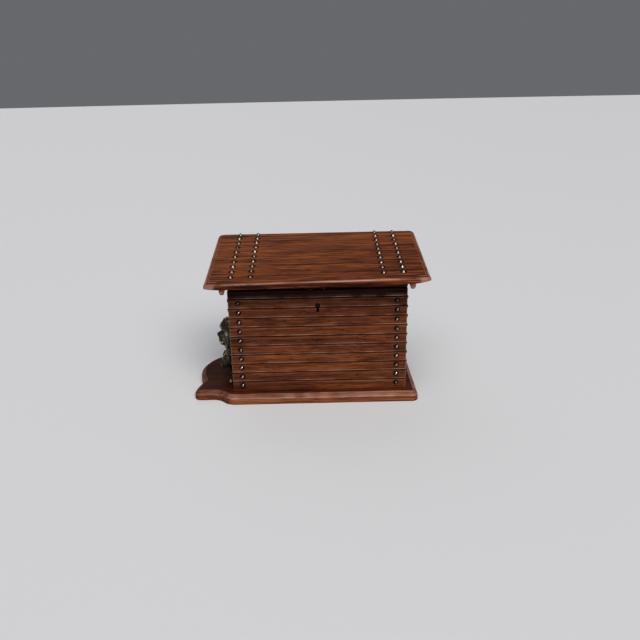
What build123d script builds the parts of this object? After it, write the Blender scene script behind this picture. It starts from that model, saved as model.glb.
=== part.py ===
from build123d import *

import math
import os

# A table humidor in the shape of a small timber kennel. Millimetres, Z up.
# The origin is the point on the table under the middle of the box.
# -Y is the front with the keyhole, -X is the kennel's doorway with the cast animal.

# Box
wall_width = 200.0
wall_depth = 118.0
wall_thickness = 9.0
board_pitch = 11.1
groove_width = 1.7
groove_depth = 1.3
bead_width = 2.6
score_width = 0.8
score_depth = 0.5

# Base plank and its porch
base_thickness = 11.5
base_margin = 13.5
base_bevel_width = 5.5
base_bevel_height = 4.0
base_corner_inside = 1.2
ogee_start = 3.0
ogee_run = 28.0
ogee_rise = 13.8
porch_reach = 34.8
ear_inset = 1.8
ear_length = 33.7
ear_inside_radius = 1.5
notch_depth = 7.9
lobe_middle = 12.0
porch_back_radius = 6.0
porch_back_margin = 4.0

# Sloping lid
eave_height = 139.5
lid_angle = 11.0
lid_thickness = 7.5
lid_front_overhang = 20.0
lid_side_overhang = 22.0
lid_front_radius = 2.0
lid_back_radius = 7.5
lid_edge_round = 3.2
lid_field_inset = 4.5
lid_field_rise = 0.9
batten_width = 6.2
batten_drop = 8.5
batten_nose_radius = 3.0
batten_round = 2.0
batten_setback = 3.0
batten_back_setback = 9.0
rail_recess = 0.8
rail_joint = 1.4
rail_height = 9.6

# Round and pyramid headed studs
stud_radius = 3.0
stud_height = 2.3
stud_shank_radius = 0.8
stud_shank_length = 5.0
stud_corner_distance = 11.3
stud_rise_in_board = 7.0
stud_top_margin = 12.0
lid_stud_sides = 6
lid_stud_radius = 3.1
lid_stud_height = 2.6
lid_stud_flat = 0.35
lid_stud_rows = 10
lid_stud_first = 16.0
lid_stud_pitch = 13.1
lid_stud_outer = 94.0
lid_stud_inner = 72.2

# Doorway and cast animal on the left wall
door_width = 56.0
door_height = 88.0
door_recess = 4.0
arch_band = 5.5
arch_rise = 2.6
sill_height = 4.5
sill_depth = 11.0
sill_overlap = 2.0
head_centre = 63.0
head_radius = 21.0
head_offset = 2.0
muzzle_length = 23.0
muzzle_radius = 10.5
muzzle_drop = 4.5
nose_radius = 4.2
brow_radius = 7.5
jowl_radius = 7.5
ear_flap_length = 17.0
ear_flap_radius = 6.0
paw_spacing = 25.0
paw_radius = 10.3
paw_reach = 15.5
toe_radius = 4.0
neck_plate_thickness = 2.0
knob_radius = 2.8
knob_reach = 4.3
knob_corner_distance = 4.5
knob_height = 22.0

# Cedar lining
lining_thickness = 3.0
lining_drop = 3.0

# Lock
lock_width = 34.0
lock_height = 30.0
lock_depth = 7.0
lock_wall = 1.0
lock_cover = 0.8
selvedge_length = 46.0
selvedge_thickness = 1.2
lock_notch_margin = 2.0
keyhole_below_top = 18.6
keyhole_radius = 2.3
keyhole_slot_width = 2.0
keyhole_slot_length = 7.0
key_pin_radius = 0.9
key_pin_setback = 1.0
hook_spacing = 16.6
hook_width = 4.0
hook_thickness = 1.2
hook_length = 7.0
hook_eye_height = 3.0
hook_eye_depth = 2.3
hook_slot_sweep = 2.4
bolt_travel = 2.4
bolt_bar_height = 4.0
bolt_arm_width = 1.3
bolt_tooth_height = 2.0
link_plate_length = 36.0
link_plate_width = 5.4
link_plate_thickness = 1.2

# Hinges
hinge_length = 38.0
hinge_distance = 124.0
hinge_leaf_width = 8.0
hinge_leaf_thickness = 1.1
hinge_barrel_radius = 2.4
hinge_pin_radius = 1.1
hinge_pin_head = 0.8
knuckle_gap = 0.3

# Humidifier under the lid
humidifier_length = 92.0
humidifier_width = 44.0
humidifier_depth = 12.0
humidifier_wall = 0.8
humidifier_flange = 4.0
humidifier_start = 54.0
vent_radius = 1.6
vent_pitch = 8.0
vent_columns = 9
vent_rows = 4

# Screws
screw_radius = 0.8
screw_head_radius = 1.7
screw_head_height = 0.9
screw_length = 6.5
slot_width = 0.5
slot_depth = 0.4
base_screw_radius = 1.6
base_screw_head_radius = 3.4
base_screw_head_height = 2.4
base_screw_length = 26.0
casting_screw_length = 13.0

# Clearances
move_gap = 0.3
side_gap = 0.4
fit_gap = 0.05
pin_gap = 0.04

# Places that follow from the sizes above
half_width = wall_width / 2
half_depth = wall_depth / 2
inner_x = half_width - wall_thickness
inner_y = half_depth - wall_thickness
lid_front = -half_depth - lid_front_overhang
slope = math.radians(lid_angle)
rail_top = eave_height + lid_front_overhang * math.tan(slope)
front_top = rail_top - rail_height - rail_joint
wall_stud_rows = 1 + int((front_top - base_thickness - stud_rise_in_board - stud_top_margin) / board_pitch)
lid_length = (half_depth - lid_front) / math.cos(slope)
lid_plane = Plane(
    origin=(0, lid_front, eave_height),
    x_dir=(1, 0, 0),
    z_dir=(0, -math.sin(slope), math.cos(slope)),
)
hinge_run = lid_length + hinge_barrel_radius + move_gap
hinge_drop = -move_gap / 2
keyhole_height = front_top - keyhole_below_top
lock_back = -inner_y
lock_front = lock_back - lock_depth
lock_bottom = front_top - lock_height
hook_back = lock_back - lock_cover - 1.2
hook_middle = hook_back - hook_thickness / 2
wall_joints = [base_thickness + board_pitch * (i + 1) for i in range(16)]


def underside(y):
    """Height of the lid's underside above the table at depth y."""
    return eave_height + (y - lid_front) * math.tan(slope)


def wall_top(y):
    """Height of the sloping wall top at depth y, just clear of the lid."""
    return underside(y) - move_gap / math.cos(slope)


def box_between(low, high):
    """Box from its lowest to its highest corner."""
    size = [b - a for a, b in zip(low, high)]
    middle = [(a + b) / 2 for a, b in zip(low, high)]
    return Pos(*middle) * Box(*size)


def face_of(points):
    """Flat face with the given corners."""
    return make_face(Polyline(*points, close=True))


def hole(radius, length):
    """Cylinder that runs down from the origin, to cut or to fill a bore."""
    return Pos(0, 0, -length / 2) * Cylinder(radius, length)


def group(solids):
    """Several separate solids in one node."""
    return Compound(children=[s for s in solids])


def cut_all(body, cutters):
    """Body with every cutter taken away."""
    for cutter in cutters:
        body = body - cutter
    return body


# Boards


def board_face(inner, outer, top_inner, top_outer):
    """Cross section of a wall scored into boards, each joint a groove with a bead above it."""
    way = 1 if outer > inner else -1
    points = [(inner, base_thickness), (outer, base_thickness)]
    for z in wall_joints:
        if z + bead_width + score_width > top_outer:
            break
        points.append((outer, z - groove_width / 2))
        points.append((outer - way * groove_depth, z))
        points.append((outer, z + groove_width / 2))
        points.append((outer, z + bead_width - score_width / 2))
        points.append((outer - way * score_depth, z + bead_width))
        points.append((outer, z + bead_width + score_width / 2))
    points.append((outer, top_outer))
    points.append((inner, top_inner))
    return face_of(points)


def above_walls():
    """Everything above the sloping tops of the side walls."""
    reach = 2 * (wall_width + lid_length)
    return lid_plane * Pos(0, 0, reach / 2 - move_gap) * Box(reach, reach, reach)


def keyhole(y_from, y_to):
    """Keyhole shape cut along Y."""
    middle = (y_from + y_to) / 2
    length = abs(y_to - y_from)
    eye = Pos(0, middle, keyhole_height) * Rot(90, 0, 0) * Cylinder(keyhole_radius, length)
    low = (-keyhole_slot_width / 2, middle - length / 2, keyhole_height - keyhole_slot_length)
    high = (keyhole_slot_width / 2, middle + length / 2, keyhole_height)
    return eye + box_between(low, high)


def front_wall():
    face = board_face(-inner_y, -half_depth, front_top, front_top)
    wall = extrude(Plane.YZ * face, amount=half_width, both=True)
    pocket_half = lock_width / 2 + fit_gap
    pocket = box_between(
        (-pocket_half, lock_front - fit_gap, lock_bottom - fit_gap),
        (pocket_half, lock_back, front_top),
    )
    ledge_half = selvedge_length / 2 + fit_gap
    ledge = box_between(
        (-ledge_half, lock_front - fit_gap, front_top - selvedge_thickness),
        (ledge_half, lock_back, front_top),
    )
    wall = wall - pocket - ledge - keyhole(-half_depth, lock_front)
    wall = cut_all(wall, [place * screw_bore() for place in selvedge_screw_places()])
    bores = [place * stud_bore() for place in wall_stud_places("front") + [knob_place()]]
    return cut_all(wall, bores + base_screw_bores())


def back_wall():
    face = board_face(inner_y, half_depth, wall_top(inner_y), wall_top(half_depth))
    wall = extrude(Plane.YZ * face, amount=half_width, both=True)
    wall = cut_all(wall, [lower_leaf_mortise(x) for x in hinge_middles()])
    wall = cut_all(wall, [place * screw_bore() for place in hinge_screw_places(False)])
    return cut_all(wall, [place * stud_bore() for place in wall_stud_places("back")] + base_screw_bores())


def side_wall(side):
    """Side wall between the front and back walls, side -1 or 1."""
    top = wall_top(inner_y)
    face = board_face(side * inner_x, side * half_width, top, top)
    wall = extrude(Plane.XZ * face, amount=inner_y, both=True) - above_walls()
    name = "left" if side < 0 else "right"
    return cut_all(wall, [place * stud_bore() for place in wall_stud_places(name)] + base_screw_bores())


def left_wall():
    wall = side_wall(-1) - doorway(door_recess)
    return cut_all(wall, [place * screw_bore(length=casting_screw_length) for place in casting_screw_places()])


def doorway(depth):
    """Arched doorway cut into the outside of the left wall."""
    half = door_width / 2
    springing = base_thickness + door_height - half
    low = (-half_width, -half, base_thickness)
    high = (-half_width + depth, half, springing)
    arch = Pos(-half_width + depth / 2, 0, springing) * Rot(0, 90, 0) * Cylinder(half, depth)
    return box_between(low, high) + arch


# Base


def base_outline():
    """Outline of the plank, with the porch in front of the doorway."""
    right, back = half_width + base_margin, half_depth + base_margin
    left, front = -right, -back
    r = base_bevel_width + base_corner_inside
    outer = left - porch_reach

    ogee_end = (-half_width + ogee_start - ogee_run, front + ogee_rise)
    start = (-half_width + ogee_start, front)
    ogee_middle = ((start[0] + ogee_end[0]) / 2, (start[1] + ogee_end[1]) / 2)
    ear_r = base_bevel_width + ear_inside_radius
    ear_end = (outer + ear_inset, ogee_end[1] + ear_r)
    ear_start = (ear_end[0] + ear_r, ogee_end[1])
    notch = (outer + notch_depth, ogee_end[1] + ear_length)

    # The lobe's arc and a reversed arc meet tangentially, and the second one ends along the left edge.
    joint = (left, back - r - porch_back_margin)
    run = porch_reach - porch_back_radius
    rise = joint[1] - lobe_middle
    lobe_radius = (run**2 + rise**2 - porch_back_radius**2) / (2 * porch_reach)
    share = lobe_radius / (lobe_radius + porch_back_radius)
    lobe_end = (outer + lobe_radius + share * (run - lobe_radius), lobe_middle + share * rise)
    lobe_side = (outer, lobe_middle)

    lines = [
        TangentArc(start, ogee_middle, tangent=(-1, 0)),
        TangentArc(ogee_end, ogee_middle, tangent=(1, 0)),
        Line(ogee_end, ear_start),
        TangentArc(ear_start, ear_end, tangent=(-1, 0)),
        TangentArc(ear_end, notch, tangent=(0, 1)),
        TangentArc(lobe_side, notch, tangent=(0, -1)),
        TangentArc(lobe_side, lobe_end, tangent=(0, 1)),
        TangentArc(joint, lobe_end, tangent=(0, -1)),
        Line(joint, (left, back - r)),
        TangentArc((left, back - r), (left + r, back), tangent=(0, 1)),
        Line((left + r, back), (right - r, back)),
        TangentArc((right - r, back), (right, back - r), tangent=(1, 0)),
        Line((right, back - r), (right, front + r)),
        TangentArc((right, front + r), (right - r, front), tangent=(0, -1)),
        Line((right - r, front), start),
    ]
    return make_face(lines)


def base_plank():
    plank = extrude(base_outline(), amount=base_thickness)
    rim = plank.faces().sort_by(Axis.Z)[-1].edges()
    plank = chamfer(rim, length=base_bevel_height, length2=base_bevel_width)
    return cut_all(plank, base_screw_bores())


# Lid


def lid_outline(inset):
    """Outline of the lid in its own plane, with rounder corners at the back."""
    half = half_width + lid_side_overhang - inset
    low, high = inset, lid_length - inset
    front_r = max(lid_front_radius - inset, lid_front_radius / 4)
    back_r = lid_back_radius - inset
    lines = [
        Line((-half + front_r, low), (half - front_r, low)),
        TangentArc((half - front_r, low), (half, low + front_r), tangent=(1, 0)),
        Line((half, low + front_r), (half, high - back_r)),
        TangentArc((half, high - back_r), (half - back_r, high), tangent=(0, 1)),
        Line((half - back_r, high), (-half + back_r, high)),
        TangentArc((-half + back_r, high), (-half, high - back_r), tangent=(-1, 0)),
        Line((-half, high - back_r), (-half, low + front_r)),
        TangentArc((-half, low + front_r), (-half + front_r, low), tangent=(0, -1)),
    ]
    return make_face(lines)


def lid_board():
    board = extrude(lid_outline(0), amount=lid_thickness - lid_field_rise)
    rim = board.faces().sort_by(Axis.Z)[-1].edges()
    board = fillet(rim, radius=lid_edge_round)
    board = board + extrude(lid_outline(lid_field_inset), amount=lid_thickness)
    board = lid_plane * board
    board = cut_all(board, [upper_leaf_mortise(x) for x in hinge_middles()])
    board = cut_all(board, [place * screw_bore() for place in hinge_screw_places(True)])
    board = cut_all(board, [place * screw_bore() for place in humidifier_screw_places()])
    return cut_all(board, [place * stud_bore() for place in lid_stud_places()])


def lid_front_rail():
    """Rail under the lid that closes down onto the front wall and carries the link plate."""
    front = -half_depth + rail_recess
    back = -inner_y - side_gap
    bottom = front_top + rail_joint
    points = [(front, bottom), (back, bottom), (back, underside(back)), (front, underside(front))]
    rail = extrude(Plane.YZ * face_of(points), amount=half_width, both=True)
    half = link_plate_length / 2 + fit_gap
    middle = hook_middle
    recess = box_between(
        (-half, middle - link_plate_width / 2 - fit_gap, bottom),
        (half, middle + link_plate_width / 2 + fit_gap, bottom + link_plate_thickness),
    )
    return cut_all(rail - recess, [place * screw_bore() for place in link_screw_places()])


def lid_side_batten(side):
    """Batten under the lid's side overhang, rounded at its front end."""
    start = batten_setback
    end = lid_length - batten_back_setback
    low = -batten_drop
    r = batten_nose_radius
    lines = [
        Line((start, 0), (end, 0)),
        Line((end, 0), (end, low)),
        Line((end, low), (start + r, low)),
        TangentArc((start + r, low), (start, low + r), tangent=(-1, 0)),
        Line((start, low + r), (start, 0)),
    ]
    profile = make_face(lines)
    batten = extrude(Plane.YZ * profile, amount=batten_width / 2, both=True)
    long_edges = batten.edges().filter_by(Axis.Y).sort_by(Axis.Z)[:2]
    nose_edges = batten.edges().filter_by(GeomType.CIRCLE)
    front_edges = batten.edges().filter_by(Axis.Z).sort_by(Axis.Y)[:2]
    batten = fillet(long_edges + nose_edges + front_edges, radius=batten_round)
    offset = half_width + side_gap + batten_width / 2
    return lid_plane * Pos(side * offset, 0, 0) * batten


# Studs


def stud_bore():
    return hole(stud_shank_radius + fit_gap, stud_shank_length)


def round_stud():
    """Domed head with a short shank, standing on the wood at the origin."""
    ball = (stud_radius**2 + stud_height**2) / (2 * stud_height)
    dome = Pos(0, 0, stud_height - ball) * Sphere(ball)
    head = dome & (Pos(0, 0, stud_height) * Cylinder(2 * stud_radius, 2 * stud_height))
    return head + hole(stud_shank_radius, stud_shank_length)


def pyramid_stud():
    """Six sided pyramid head with a short shank. One facet looks down the slope."""
    outline = RegularPolygon(lid_stud_radius, lid_stud_sides)
    flat_reach = lid_stud_radius * math.cos(math.pi / lid_stud_sides)
    lean = math.degrees(math.atan2(flat_reach - lid_stud_flat, lid_stud_height))
    head = extrude(outline, amount=lid_stud_height, taper=lean)
    return head + hole(stud_shank_radius, stud_shank_length)


def wall_stud_places(name):
    """Places of the studs on one wall, one stud per board in two columns."""
    turn = {"front": Rot(90, 0, 0), "back": Rot(-90, 0, 0), "left": Rot(0, -90, 0), "right": Rot(0, 90, 0)}[name]
    places = []
    for row in range(wall_stud_rows):
        z = base_thickness + stud_rise_in_board + row * board_pitch
        for side in (-1, 1):
            x = side * (half_width - stud_corner_distance)
            y = side * (half_depth - stud_corner_distance)
            spot = {
                "front": (x, -half_depth, z),
                "back": (x, half_depth, z),
                "left": (-half_width, y, z),
                "right": (half_width, y, z),
            }[name]
            places.append(Pos(*spot) * turn)
    return places


def lid_stud_places():
    """Places of the lid's studs: four columns down the slope."""
    places = []
    for x in (-lid_stud_outer, -lid_stud_inner, lid_stud_inner, lid_stud_outer):
        for row in range(lid_stud_rows):
            places.append(lid_plane * Pos(x, lid_stud_first + row * lid_stud_pitch, lid_thickness))
    return places


def wall_studs(name):
    return group([place * round_stud() for place in wall_stud_places(name)])


def lid_studs():
    return group([place * pyramid_stud() for place in lid_stud_places()])


# Screws


def screw(radius=screw_radius, head_radius=screw_head_radius, head=screw_head_height, length=screw_length):
    """Slotted countersunk screw that points down, its head flush with the origin."""
    shank = Pos(0, 0, -length / 2) * Cylinder(radius, length)
    cone = Pos(0, 0, -head / 2) * Cone(radius, head_radius, head)
    slot = Pos(0, 0, -slot_depth / 2) * Box(3 * head_radius, slot_width, slot_depth)
    return shank + cone - slot


def screw_bore(radius=screw_radius, head_radius=screw_head_radius, head=screw_head_height, length=screw_length):
    """Countersunk bore that the screw sits in."""
    cone = Pos(0, 0, -head / 2) * Cone(radius + fit_gap, head_radius + fit_gap, head)
    return hole(radius + fit_gap, length) + cone


def base_screw_places():
    """Screws up through the base into the walls."""
    x = half_width - wall_thickness / 2
    y = half_depth - wall_thickness / 2
    spots = [(sx * hinge_distance / 2, sy * y) for sx in (-1, 1) for sy in (-1, 1)]
    spots += [(sx * x, sy * door_width * 0.62) for sx in (-1, 1) for sy in (-1, 1)]
    return [Pos(sx, sy, 0) * Rot(180, 0, 0) for sx, sy in spots]


def base_screw():
    return screw(base_screw_radius, base_screw_head_radius, base_screw_head_height, base_screw_length)


def base_screw_bores():
    return [
        place * screw_bore(base_screw_radius, base_screw_head_radius, base_screw_head_height, base_screw_length)
        for place in base_screw_places()
    ]


def selvedge_screw_places():
    x = (selvedge_length + lock_width) / 4
    return [Pos(side * x, (lock_front + lock_back) / 2, front_top) for side in (-1, 1)]


def link_screw_places():
    x = (link_plate_length + hook_spacing + hook_width) / 4
    return [Pos(side * x, hook_middle, front_top + rail_joint) * Rot(180, 0, 0) for side in (-1, 1)]


def casting_screw_places():
    """Screws from inside the box through the left wall into the castings."""
    spots = [(0, head_centre), (-paw_spacing / 2, foreleg_middle()), (paw_spacing / 2, foreleg_middle())]
    return [Pos(-inner_x, y, z) * Rot(0, 90, 0) for y, z in spots]


# Cast animal


def foreleg_middle():
    return base_thickness + sill_height + paw_radius + fit_gap


def door_sill():
    low = (-half_width - sill_depth, -door_width / 2 - sill_overlap, base_thickness)
    high = (-half_width, door_width / 2 + sill_overlap, base_thickness + sill_height)
    return box_between(low, high)


def door_arch():
    """Raised band round the doorway, standing on the sill."""
    half = door_width / 2
    springing = base_thickness + door_height - half
    depth = arch_rise
    middle = -half_width - depth / 2
    ring = Pos(middle, 0, springing) * Rot(0, 90, 0) * Cylinder(half + arch_band, depth)
    legs = box_between(
        (-half_width - depth, -half - arch_band, base_thickness),
        (-half_width, half + arch_band, springing),
    )
    gap = Pos(middle, 0, springing) * Rot(0, 90, 0) * Cylinder(half, 2 * depth)
    gap = gap + box_between((-half_width - 2 * depth, -half, 0), (-half_width + depth, half, springing))
    band = ring + legs - gap
    sill_room = box_between(
        (-half_width - sill_depth, -half - sill_overlap, base_thickness),
        (-half_width, half + sill_overlap, base_thickness + sill_height),
    )
    return band - sill_room


def casting_bores():
    return [place * hole(screw_radius + fit_gap, casting_screw_length) for place in casting_screw_places()]


def cast_head():
    """Hound's head looking out of the doorway, cast in one with a neck plate."""
    back = -half_width + door_recess
    skull_x = -half_width - head_offset + head_radius * 0.2
    neck = Pos(back - neck_plate_thickness, 0, head_centre) * Rot(0, 90, 0)
    head = neck * Cylinder(head_radius, 2 * neck_plate_thickness)
    skull = Pos(skull_x, 0, head_centre) * Sphere(head_radius)
    head = head + (skull & box_between((-2 * half_width, -half_width, 0), (back, half_width, wall_width)))
    muzzle_z = head_centre - muzzle_drop
    tip = -half_width - muzzle_length + nose_radius / 2
    root = skull_x - head_radius / 2
    snout = Pos((tip + root) / 2, 0, muzzle_z) * Rot(0, 90, 0)
    head = head + snout * Cone(muzzle_radius * 0.82, muzzle_radius, root - tip)
    head = head + Pos(tip, 0, muzzle_z + muzzle_radius * 0.45) * Sphere(nose_radius)
    for side in (-1, 1):
        brow = (root + brow_radius * 0.3, side * brow_radius * 0.9, head_centre + brow_radius)
        jowl = (tip + jowl_radius * 0.9, side * jowl_radius * 0.6, muzzle_z - jowl_radius * 0.75)
        head = head + Pos(*brow) * Sphere(brow_radius) + Pos(*jowl) * Sphere(jowl_radius)
        lobe = Pos(skull_x - ear_flap_radius, side * head_radius * 0.84, head_centre + ear_flap_radius)
        flap = Cylinder(ear_flap_radius, ear_flap_length * 0.6) + Pos(0, 0, -ear_flap_length * 0.3) * Sphere(ear_flap_radius)
        flap = flap + Pos(0, 0, ear_flap_length * 0.3) * Sphere(ear_flap_radius)
        head = head + lobe * Rot(side * 14, 0, 0) * (flap & Box(ear_flap_length, ear_flap_radius, 2 * ear_flap_length))
    keep = box_between((-2 * half_width, -door_width / 2 + side_gap, 0), (back, door_width / 2 - side_gap, wall_width))
    return cut_all(head & keep, casting_bores())


def cast_paw(side):
    """One foreleg and its toes, resting on the sill."""
    back = -half_width + door_recess
    y = side * paw_spacing / 2
    z = foreleg_middle()
    reach = -half_width - paw_reach
    leg = Pos((back + reach) / 2, y, z) * Rot(0, 90, 0) * Cylinder(paw_radius, back - reach)
    paw = leg + Pos(reach, y, z) * Sphere(paw_radius * 0.98)
    for step in (-1, 0, 1):
        toe = (reach - paw_radius * 0.62, y + step * toe_radius * 1.35, z - paw_radius * 0.25)
        paw = paw + Pos(*toe) * Sphere(toe_radius)
    return cut_all(paw, casting_bores())


def knob_place():
    """Turned knob low on the left wall, close to the front corner."""
    return Pos(-half_width, -half_depth + knob_corner_distance, knob_height) * Rot(0, -90, 0)


def side_knob():
    ball = Pos(0, 0, knob_reach - knob_radius) * Sphere(knob_radius)
    ball = ball & extrude(Circle(2 * knob_radius), amount=knob_reach)
    return knob_place() * (ball + hole(stud_shank_radius, stud_shank_length))


# Lining


def floor_lining():
    z = base_thickness
    return box_between((-inner_x, -inner_y, z), (inner_x, inner_y, z + lining_thickness))


def long_lining(side):
    """Cedar panel inside the front wall, side -1, or the back wall, side 1."""
    z = base_thickness + lining_thickness
    top = (front_top if side < 0 else wall_top(inner_y - lining_thickness)) - lining_drop
    near, far = inner_y - lining_thickness, inner_y
    low = (-inner_x, min(side * near, side * far), z)
    high = (inner_x, max(side * near, side * far), top)
    panel = box_between(low, high)
    if side < 0:
        half = lock_width / 2 + lock_notch_margin
        panel = panel - box_between((-half, low[1], lock_bottom - lock_notch_margin), (half, high[1], high[2]))
    return panel


def short_lining(side):
    """Cedar panel inside a side wall, its top cut to the slope."""
    z = base_thickness + lining_thickness
    reach = inner_y - lining_thickness
    near, far = sorted((side * inner_x, side * (inner_x - lining_thickness)))
    panel = box_between((near, -reach, z), (far, reach, wall_top(inner_y)))
    return panel - Pos(0, 0, -lining_drop) * above_walls()


# Lock


def hook_middles():
    return [-hook_spacing / 2, hook_spacing / 2]


def lock_case():
    """Box lock let into the inside of the front wall, with a slotted top plate."""
    half = lock_width / 2
    case = box_between((-half, lock_front, lock_bottom), (half, lock_back - lock_cover, front_top - selvedge_thickness))
    room = box_between(
        (-half + lock_wall, lock_front + lock_wall, lock_bottom + lock_wall),
        (half - lock_wall, lock_back, front_top - selvedge_thickness),
    )
    case = case - room
    case = case + box_between(
        (-selvedge_length / 2, lock_front, front_top - selvedge_thickness),
        (selvedge_length / 2, lock_back, front_top),
    )
    for x in hook_middles():
        slot_half = hook_width / 2 + side_gap
        case = case - box_between(
            (x - slot_half, hook_back - hook_thickness - hook_slot_sweep, front_top - 2 * selvedge_thickness),
            (x + slot_half, hook_back + side_gap, front_top),
        )
    for side in (-1, 1):
        ends = sorted((side * (half - lock_wall), side * half / 2))
        case = case + box_between(
            (ends[0], lock_front + lock_wall, bolt_bottom() - move_gap - lock_wall),
            (ends[1], lock_back - lock_cover, bolt_bottom() - move_gap),
        )
    case = case - keyhole(lock_front, lock_front + lock_wall)
    return cut_all(case, [place * screw_bore() for place in selvedge_screw_places()])


def lock_cover_plate():
    half = lock_width / 2
    low = (-half, lock_back - lock_cover, lock_bottom)
    plate = box_between(low, (half, lock_back, front_top - selvedge_thickness))
    post = Pos(0, lock_back, keyhole_height) * Rot(90, 0, 0)
    return plate - post * Pos(0, 0, lock_cover / 2) * Cylinder(key_pin_radius + fit_gap, lock_cover)


def lock_key_pin():
    """Fixed pin that the hollow key turns on."""
    end = -half_depth + key_pin_setback
    length = lock_back - end
    return Pos(0, (lock_back + end) / 2, keyhole_height) * Rot(90, 0, 0) * Cylinder(key_pin_radius, length)


def hook_tip():
    return front_top - hook_length


def eye_bottom():
    return hook_tip() + (hook_length - selvedge_thickness - hook_eye_height) / 2


def bolt_bottom():
    return hook_tip() - move_gap - bolt_bar_height


def lock_bolt():
    """Sliding bolt whose two teeth enter the eyes of the hooks."""
    arm_clear = hook_width / 2 + side_gap + bolt_travel
    arms = [x - arm_clear - bolt_arm_width for x in hook_middles()]
    bar = box_between(
        (arms[0], lock_front + lock_wall + move_gap, bolt_bottom()),
        (arms[1] + bolt_arm_width, lock_back - lock_cover - move_gap, bolt_bottom() + bolt_bar_height),
    )
    tooth_z = eye_bottom() + (hook_eye_height - bolt_tooth_height) / 2
    for x, arm in zip(hook_middles(), arms):
        front, back = hook_back - hook_thickness, hook_back
        bar = bar + box_between(
            (arm, front, bolt_bottom() + bolt_bar_height), (arm + bolt_arm_width, back, tooth_z + bolt_tooth_height)
        )
        bar = bar + box_between(
            (arm, front, tooth_z), (x - hook_width / 2 - side_gap, back, tooth_z + bolt_tooth_height)
        )
    return bar


def link_plate():
    """Plate under the lid's front rail with two hooks that drop into the lock."""
    bottom = front_top + rail_joint
    half = link_plate_length / 2
    plate = box_between(
        (-half, hook_middle - link_plate_width / 2, bottom),
        (half, hook_middle + link_plate_width / 2, bottom + link_plate_thickness),
    )
    for x in hook_middles():
        low = (x - hook_width / 2, hook_back - hook_thickness, hook_tip())
        plate = plate + box_between(low, (x + hook_width / 2, hook_back, bottom))
        eye_low = (x - hook_width / 2, hook_back - hook_thickness, eye_bottom())
        eye_high = (x - hook_width / 2 + hook_eye_depth, hook_back, eye_bottom() + hook_eye_height)
        plate = plate - box_between(eye_low, eye_high)
    return cut_all(plate, [place * screw_bore() for place in link_screw_places()])


# Hinges


def hinge_middles():
    return [-hinge_distance / 2, hinge_distance / 2]


def leaf_mortise(x, low, high):
    start = lid_length - hinge_leaf_width - fit_gap
    half = hinge_length / 2 + fit_gap
    reach = lid_length + hinge_barrel_radius + 2 * move_gap
    return lid_plane * box_between((x - half, start, low), (x + half, reach, high))


def upper_leaf_mortise(x):
    return leaf_mortise(x, 0, hinge_leaf_thickness)


def lower_leaf_mortise(x):
    return leaf_mortise(x, -move_gap - hinge_leaf_thickness, -move_gap)


def hinge_leaf(x, upper):
    """One leaf with its knuckles; the upper leaf has the middle knuckle."""
    low = 0 if upper else -move_gap - hinge_leaf_thickness
    high = low + hinge_leaf_thickness
    half = hinge_length / 2
    third = hinge_length / 3
    plate = box_between((x - half, lid_length - hinge_leaf_width, low), (x + half, lid_length - fit_gap, high))
    spans = [(-third / 2, third / 2)] if upper else [(-half, -third / 2 - knuckle_gap), (third / 2 + knuckle_gap, half)]
    axis = Pos(x, hinge_run, hinge_drop) * Rot(0, 90, 0)
    bore = axis * Cylinder(hinge_pin_radius + pin_gap, 2 * hinge_length)
    for start, end in spans:
        middle = (start + end) / 2
        knuckle = axis * Pos(0, 0, middle) * Cylinder(hinge_barrel_radius, end - start)
        web = box_between((x + start, lid_length - hinge_leaf_width / 2, low), (x + end, hinge_run, high))
        plate = plate + knuckle + web
    leaf = lid_plane * (plate - bore)
    return cut_all(leaf, [place * screw_bore() for place in hinge_screw_places(upper)])


def hinge_pin(x):
    """Pin with a small rivet head at each end, inside the outer knuckles' ends."""
    axis = Pos(x, hinge_run, hinge_drop) * Rot(0, 90, 0)
    pin = axis * Cylinder(hinge_pin_radius, hinge_length + 2 * fit_gap)
    for side in (-1, 1):
        place = Pos(0, 0, side * (hinge_length / 2 + fit_gap + hinge_pin_head / 2))
        pin = pin + axis * place * Cylinder(hinge_pin_radius * 1.6, hinge_pin_head)
    return lid_plane * pin


def hinge_screw_places(upper):
    """Screws of one set of leaves: up into the lid, or down into the back wall."""
    run = lid_length - hinge_leaf_width / 2
    places = []
    for x in hinge_middles():
        for side in (-1, 0, 1):
            spot = x + side * hinge_length * 0.36
            if upper:
                places.append(lid_plane * Pos(spot, run, 0) * Rot(180, 0, 0))
            else:
                places.append(lid_plane * Pos(spot, run, -move_gap))
    return places


# Humidifier


def humidifier_room(inset, top, bottom):
    half = humidifier_length / 2 - inset
    low = (-half, humidifier_start + inset, -bottom)
    return box_between(low, (half, humidifier_start + humidifier_width - inset, -top))


def humidifier_screw_places():
    x = (humidifier_length + humidifier_flange) / 2
    y = humidifier_start + humidifier_width / 2
    step = humidifier_width * 0.3
    spots = [(sx * x, y + sy * step) for sx in (-1, 1) for sy in (-1, 1)]
    return [lid_plane * Pos(sx, sy, -humidifier_wall) * Rot(180, 0, 0) for sx, sy in spots]


def humidifier_case():
    """Shallow brass pan under the lid, with a flange at each end for its screws."""
    pan = humidifier_room(0, 0, humidifier_depth)
    pan = pan - humidifier_room(humidifier_wall, humidifier_wall, humidifier_depth)
    half = humidifier_length / 2 + 2 * humidifier_flange
    flange = box_between(
        (-half, humidifier_start, -humidifier_wall),
        (half, humidifier_start + humidifier_width, 0),
    )
    pan = lid_plane * (pan + flange)
    return cut_all(pan, [place * screw_bore() for place in humidifier_screw_places()])


def humidifier_pad():
    inset = humidifier_wall + fit_gap
    return lid_plane * humidifier_room(inset, humidifier_wall, humidifier_depth - humidifier_wall)


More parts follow.
